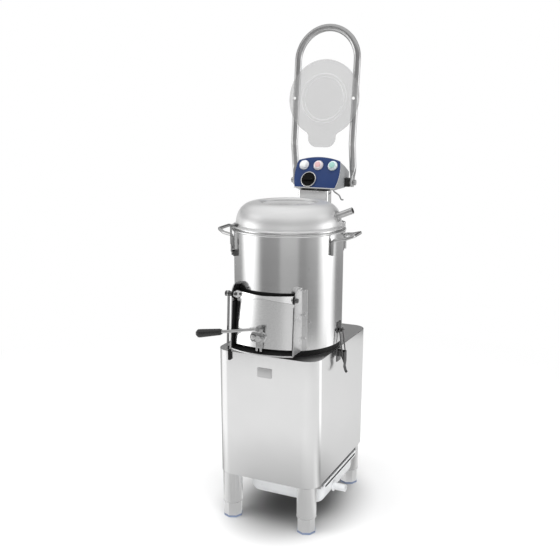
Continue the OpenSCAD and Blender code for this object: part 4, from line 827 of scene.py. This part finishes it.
wing_face = facing((-17.5, -206.3, LEVER_Z + 1.2), (0, -1, 0))
boss = ([(0, 0), (7.6, 0)] + arc(6.8, 1.6, 0.8, 0, 90, 4) + [(5.2, 2.4), (4.9, 2.1), (4.3, 2.1), (4.0, 2.5)]
        + arc(3.2, 3.4, 0.8, 0, 90, 4) + [(0, 4.3)])
piece("wing_boss", lathe(boss, 64), "satin", "lever", wing_face, sharp=35)
# a dark washer under the wing boss; its dark ring also paints the shade line round the boss
washer_and_shade_ring = [(7.8, 0), (9.6, 0), (9.6, 0.7), (9.3, 1.0), (7.8, 1.0)]
piece("boss_washer_and_shade_ring", lathe(washer_and_shade_ring, 64, closed=True), "toggle", "lever", wing_face, sharp=35)

DOOR_BACK = 50                    # the door's bend is centred this far behind the drum's axis
DOOR_TOP, DOOR_LOW = 733, 586
DOOR_GAP, DOOR_FLARE = 11, 21     # from the drum to the door's face at its top, and how much more at its foot


def door_point(x, z, out):
    """A point in front of the door's outer face."""
    flare = DOOR_FLARE * (DOOR_TOP - z) / (DOOR_TOP - DOOR_LOW)
    radius = DOOR_BACK + DRUM_R + DOOR_GAP + flare + out
    return Vector((x, DOOR_BACK - math.sqrt(radius ** 2 - x * x), z))


def strap_shade_line(low, drop, out, r):
    """A dark rubber bead along one bowed edge of the door's strap: a painted shadow line at that edge."""
    path = [door_point(x, low + drop * (1 - abs(x) / 92), out) for x in range(-90, 91, 6)]
    return round_bar(path, r, 12)


# dark beads under the strap's lower edge and along its upper edge: painted shadow lines that set the strap
# off from the door
piece("strap_shade_lines", joined(strap_shade_line(718.6, 10, 0.3, 1.2), strap_shade_line(741.4, -4, 2.2, 0.8)), "rubber",
      "door", sharp=60)

# ---------------------------------------------------------------- side latches and lid clips

LATCH_PIN, BAIL_PIN = (176, 541), (184, 533)      # X and Z of the lever's two pins
CLIP_PIN, CLIP_OUT = (171.5, 842), 177.5          # radius and Z of the clip's pin, and its toggle's radius
# heights on the toggle, each with half the toggle's width there
CLIP_WIDTHS = [(842, 8.3), (848, 8.3), (856, 5.2), (862, 5.2), (868, 7.6), (879, 7.6), (884, 5.6)]


def strip(w, t):
    """The section of a pressed strip, from half its width and half its thickness."""
    return rounded_box((-w, -t), (w, t), 0.8, 3)


def latch_lever(side):
    """A pressed channel whose tail curls outwards, seen from its side in X and Z."""
    cheek = ([(188.2, 545), (176, 545.6)] + arc(*LATCH_PIN, 4.9, 95, 235, 10)
             + [(179.5, 527.5), (184.5, 517), (188.2, 508)])
    holes = [circle(2.1, 32, *pin) for pin in (LATCH_PIN, BAIL_PIN)]
    upright = Matrix.Rotation(math.pi / 2, 4, "X")
    cheeks = [moved(plate([cheek] + holes, -y - 1.8, -y), upright) for y in (-6.5, 12.7)]
    path = bends([(187.9, 4, 545.4), (187.9, 4, 512), (186.4, 4, 498), (190.5, 4, 484), (194.5, 4, 479)],
                 [20, 14, 8], 6)

    def section(i):
        taper = min(max((514 - path[i].z) / 36, 0), 1)
        return strip(10.5 - 3.3 * taper, 1.0)

    points, faces = joined(*cheeks, sweep(path, section, (0, 1, 0)))
    return [(side * x, y, z) for x, y, z in points], faces


for tag, side in (("right", 1), ("left", -1)):
    piece("latch_handle_" + tag, latch_lever(side), "toggle", "latch_lever_" + tag,
          instead=("latch_lever_" + tag,), sharp=35)


def between(stops, v):
    """The value at v on the line through the stops."""
    for (a, low), (b, high) in zip(stops, stops[1:]):
        if v <= b:
            return low + (high - low) * max(v - a, 0) / (b - a)
    return stops[-1][1]


def lid_clip():
    """A waisted toggle on its eye, with a bent wire that hooks over the dome's rim."""
    eye = moved(lathe([(2.06, -8.4), (3.95, -8.4), (3.95, 8.4), (2.06, 8.4)], 48, closed=True),
                facing((CLIP_PIN[0], 0, CLIP_PIN[1]), (0, 1, 0)))
    path = [Vector(p) for p in ((174.9, 0, 843.6), (176.4, 0, 844.5), (177.2, 0, 845.6))]
    path += [Vector((CLIP_OUT, 0, z)) for z in range(848, 885, 2)]
    lever = sweep(path, lambda i: strip(between(CLIP_WIDTHS, path[i].z), 0.9), (0, 1, 0))
    x, y, low, top = CLIP_OUT + 0.5, 6.9, 868, 922.5
    wire = [(x, -y, low), (x, -y, top), (168, -y, top), (168, y, top), (x, y, top), (x, y, low)]
    return joined(eye, lever, round_bar(bends(wire, 3.0, 6), 1.45, 16, (0, 1, 0)))


for tag, turn in (("right", 42), ("left", 222)):
    piece("clip_toggle_" + tag, moved(lid_clip(), Matrix.Rotation(math.radians(turn), 4, "Z")), "clip",
          "lid_clip_" + tag, instead=("lid_clip_" + tag,), sharp=35)

# ---------------------------------------------------------------- cabinet

FEET = [(x, y) for x in (-127, 127) for y in (-140, 233)]
bead = arc(29.9, 51.0, 0.9, -90, 90, 6) + [(29.0, 51.9), (29.0, 50.1)]
piece("sleeve_beads", joined(*(moved(lathe(bead, 72, closed=True), Matrix.Translation((x, y, 0)))
                               for x, y in FEET)), "satin", "machine", sharp=50)

quarter = math.pi / 2
to_the_right = Matrix.Rotation(quarter, 4, "Z") @ Matrix.Rotation(quarter, 4, "X")
# a thin black sheet on the basin's flange: painted shade of the dark slot along it
groove_shade_band = plate([rounded_box((-92, -3.2), (172, 3.2), 2)], 0, 0.5)
piece("flange_groove_shade", groove_shade_band, "rubber", "basin",
      Matrix.Translation((166, 7, 131)) @ to_the_right)

badge = plate([rounded_box((-24.5, -15), (24.5, 15), 4)], 0.05, 1.2, 0.5)
piece("blank_badge", badge, "plate", "machine", facing((0.5, -170, 502), (0, -1, 0)),
      sharp=30)

# ---------------------------------------------------------------- camera and studio

EYE = (978.48, -2148.38, 1259.82)       # the camera's place, in mm
AIM = math.radians(24.487)
PITCH = math.radians(15.15)
ROLL = math.radians(0.24)
PHOTO_WIDTH, FOCAL = 560, 789.66        # in pixels
SHIFT_X, SHIFT_Y = -0.0151, 0.0724      # in widths of the frame
SENSOR = 36.0                           # in mm


def make_camera():
    data = bpy.data.cameras.new("camera")
    data.sensor_width = SENSOR
    data.lens = FOCAL * SENSOR / PHOTO_WIDTH
    data.shift_x, data.shift_y = SHIFT_X, SHIFT_Y
    data.clip_start, data.clip_end = 0.05, 60
    cam = placed("camera", data)
    ahead = Vector((-math.sin(AIM) * math.cos(PITCH), math.cos(AIM) * math.cos(PITCH), -math.sin(PITCH)))
    right = Vector((math.cos(AIM), math.sin(AIM), 0))
    up = right.cross(ahead)
    right, up = (right * math.cos(ROLL) + up * math.sin(ROLL), up * math.cos(ROLL) - right * math.sin(ROLL))
    turn = Matrix((right, up, -ahead)).transposed()
    cam.matrix_world = Matrix.Translation(at(*EYE)) @ turn.to_4x4()
    bpy.context.scene.camera = cam


# greys round the machine, by azimuth in degrees from the front, more towards +X: the walls' soft boxes,
# the mirror floor close to the machine, and the mirror floor further out
WALL_STOPS = [(-180, 0.42), (-120, 0.46), (-92, 0.52), (-74, 1.8), (-56, 1.8), (-35, 0.38), (-28, 0.32),
              (4, 0.35), (9, 0.54), (42, 0.54), (48, 0.33), (58, 0.35), (66, 0.42), (86, 0.50), (106, 1.8),
              (124, 1.8), (142, 0.42), (180, 0.42)]
FOOT_STOPS = [(-180, 0.30), (-80, 0.45), (-56, 0.92), (-36, 0.78), (-20, 0.55), (20, 0.57), (56, 0.66),
              (76, 0.92), (92, 0.62), (110, 0.36), (140, 0.76), (180, 0.70)]
FLOOR_STOPS = [(-180, 0.60), (-97, 0.50), (-85, 1.15), (-46, 1.15), (-38, 0.90), (10, 0.94), (60, 0.88),
               (106, 0.86), (113, 1.4), (131, 1.4), (138, 0.88), (180, 0.70)]
# what the walls' greys are multiplied by, along the sine of the angle above the horizon
WALL_HEIGHTS = [(-1, 0.6), (-0.34, 0.64), (-0.20, 0.76), (-0.06, 1.7), (0.08, 1.8), (0.17, 0.34),
                (0.34, 0.30), (0.50, 0.75)]
CEILING = 0.74
CEILING_FROM, CEILING_FULL = 0.45, 0.72


def make_world():
    """A white studio whose walls carry soft boxes. The camera's own rays see plain white instead."""
    world = bpy.data.worlds.new("studio")
    bpy.context.scene.world = world
    world.use_nodes = True
    sky = Nodes(world.node_tree)
    sky.tree.nodes.clear()
    where = sky.coordinates("Generated")
    parts = sky.node("ShaderNodeSeparateXYZ")
    sky.link(where, parts.inputs[0])
    height = parts.outputs["Z"]
    walls = sky.greys(sky.azimuth(where), WALL_STOPS, -180, 180)
    bands = sky.greys(sky.spread(height, 0.0, 1.0, -1.0, 1.0), WALL_HEIGHTS, -1, 1)
    room = sky.node("ShaderNodeMix", data_type="RGBA", blend_type="MULTIPLY")
    room.inputs["Factor"].default_value = 1.0
    sky.link(walls, room.inputs["A"])
    sky.link(bands, room.inputs["B"])
    above = sky.spread(height, 0.0, 1.0, CEILING_FROM, CEILING_FULL, interpolation_type="SMOOTHSTEP")
    roofed = sky.node("ShaderNodeMix", data_type="RGBA")
    sky.link(above, roofed.inputs["Factor"])
    sky.link(room.outputs["Result"], roofed.inputs["A"])
    roofed.inputs["B"].default_value = (*grey(CEILING), 1)
    lit = sky.node("ShaderNodeBackground")
    sky.link(roofed.outputs["Result"], lit.inputs["Color"])
    plain = sky.node("ShaderNodeBackground", Color=(1, 1, 1, 1))
    seen = sky.node("ShaderNodeLightPath")
    both = sky.blended(seen.outputs["Is Camera Ray"], lit.outputs[0], plain.outputs[0])
    out = sky.node("ShaderNodeOutputWorld")
    sky.link(both, out.inputs["Surface"])


def make_lamp(name, size, place, target, watts):
    data = bpy.data.lights.new(name, "AREA")
    data.shape, data.size, data.size_y = "RECTANGLE", size[0], size[1]
    data.energy = watts
    lamp = placed(name, data)
    lamp.location = place
    lamp.rotation_euler = (Vector(target) - Vector(place)).to_track_quat("-Z", "Y").to_euler()
    lamp.visible_camera = False
    lamp.visible_glossy = False


def flat_sheet(name, outline, height):
    """A level face that belongs to the studio, from an outline in metres."""
    mesh = bpy.data.meshes.new(name)
    mesh.from_pydata([(x, y, 0) for x, y in outline], [], [tuple(range(len(outline)))])
    sheet = placed(name, mesh)
    sheet.location.z = height
    return sheet


def make_floor():
    """White paper that turns into plain white light far out, so that it meets the backdrop without a line."""
    half, fade_from, fade_to = 30.0, 0.55, 2.2
    floor = flat_sheet("floor", [(-half, -half), (half, -half), (half, half), (-half, half)], -0.0004)
    paper = Finish("paper_white", grey(0.90), 0.9)
    paper.put("Specular IOR Level", 0.0)
    # the shadow under the machine: an oval from the dark middle to the paper's own white
    oval = paper.space(stretch=(3.6, 2.7, 0), shift=(-0.06, 0.05, 0))
    paper.tint(paper.distance(oval), grey(0.15), in_low=0.16, in_high=1.0, curve="EASE")
    far = paper.spread(paper.distance(paper.coordinates("Object")), 0.0, 1.0, fade_from, fade_to)
    glow = paper.node("ShaderNodeEmission", Color=(1, 1, 1, 1), Strength=1.0)
    both = paper.blended(far, paper.bsdf.outputs[0], glow.outputs[0])
    paper.link(both, paper.tree.nodes["Material Output"].inputs["Surface"])
    floor.data.materials.append(paper.mat)
    floor.visible_glossy = False


def make_mirror_floor():
    """What the steel mirrors of the floor near the machine: lit sectors that only reflections see."""
    reach, fade_from, fade_to = 2.1, 0.50, 0.95
    disc = flat_sheet("floor_glow", circle(reach, 96), -0.0002)
    mat = bpy.data.materials.new("glow_sectors")
    mat.use_nodes = True
    sectors = Nodes(mat.node_tree)
    sectors.tree.nodes.clear()
    where = sectors.coordinates("Object")
    turn = sectors.azimuth(where)
    outer = sectors.spread(sectors.distance(where), 0.0, 1.0, fade_from, fade_to)
    mix = sectors.node("ShaderNodeMix", data_type="RGBA")
    sectors.link(outer, mix.inputs["Factor"])
    sectors.link(sectors.greys(turn, FOOT_STOPS, -180, 180), mix.inputs["A"])
    sectors.link(sectors.greys(turn, FLOOR_STOPS, -180, 180), mix.inputs["B"])
    glow = sectors.node("ShaderNodeEmission")
    sectors.link(mix.outputs["Result"], glow.inputs["Color"])
    out = sectors.node("ShaderNodeOutputMaterial")
    sectors.link(glow.outputs[0], out.inputs["Surface"])
    disc.data.materials.append(mat)
    for ray in ("camera", "diffuse", "shadow", "transmission", "volume_scatter"):
        setattr(disc, "visible_" + ray, False)


LAMPS = [
    # name, size, place, what it points at, watts
    ("ceiling", (3.4, 3.4), (0.0, -0.3, 3.6), (0, 0, 0), 96),
    ("key", (2.2, 2.2), (-2.4, -2.2, 2.6), (0, 0, 0.7), 30),
    ("fill", (2.2, 2.2), (2.6, -1.6, 2.2), (0, 0, 0.8), 22),
    ("low", (1.4, 0.5), (0.5, -2.0, 0.30), (0, 0, 0.10), 9),
]

make_camera()
make_world()
make_floor()
make_mirror_floor()
for lamp_facts in LAMPS:
    make_lamp(*lamp_facts)
bpy.context.scene.view_settings.view_transform = "Standard"
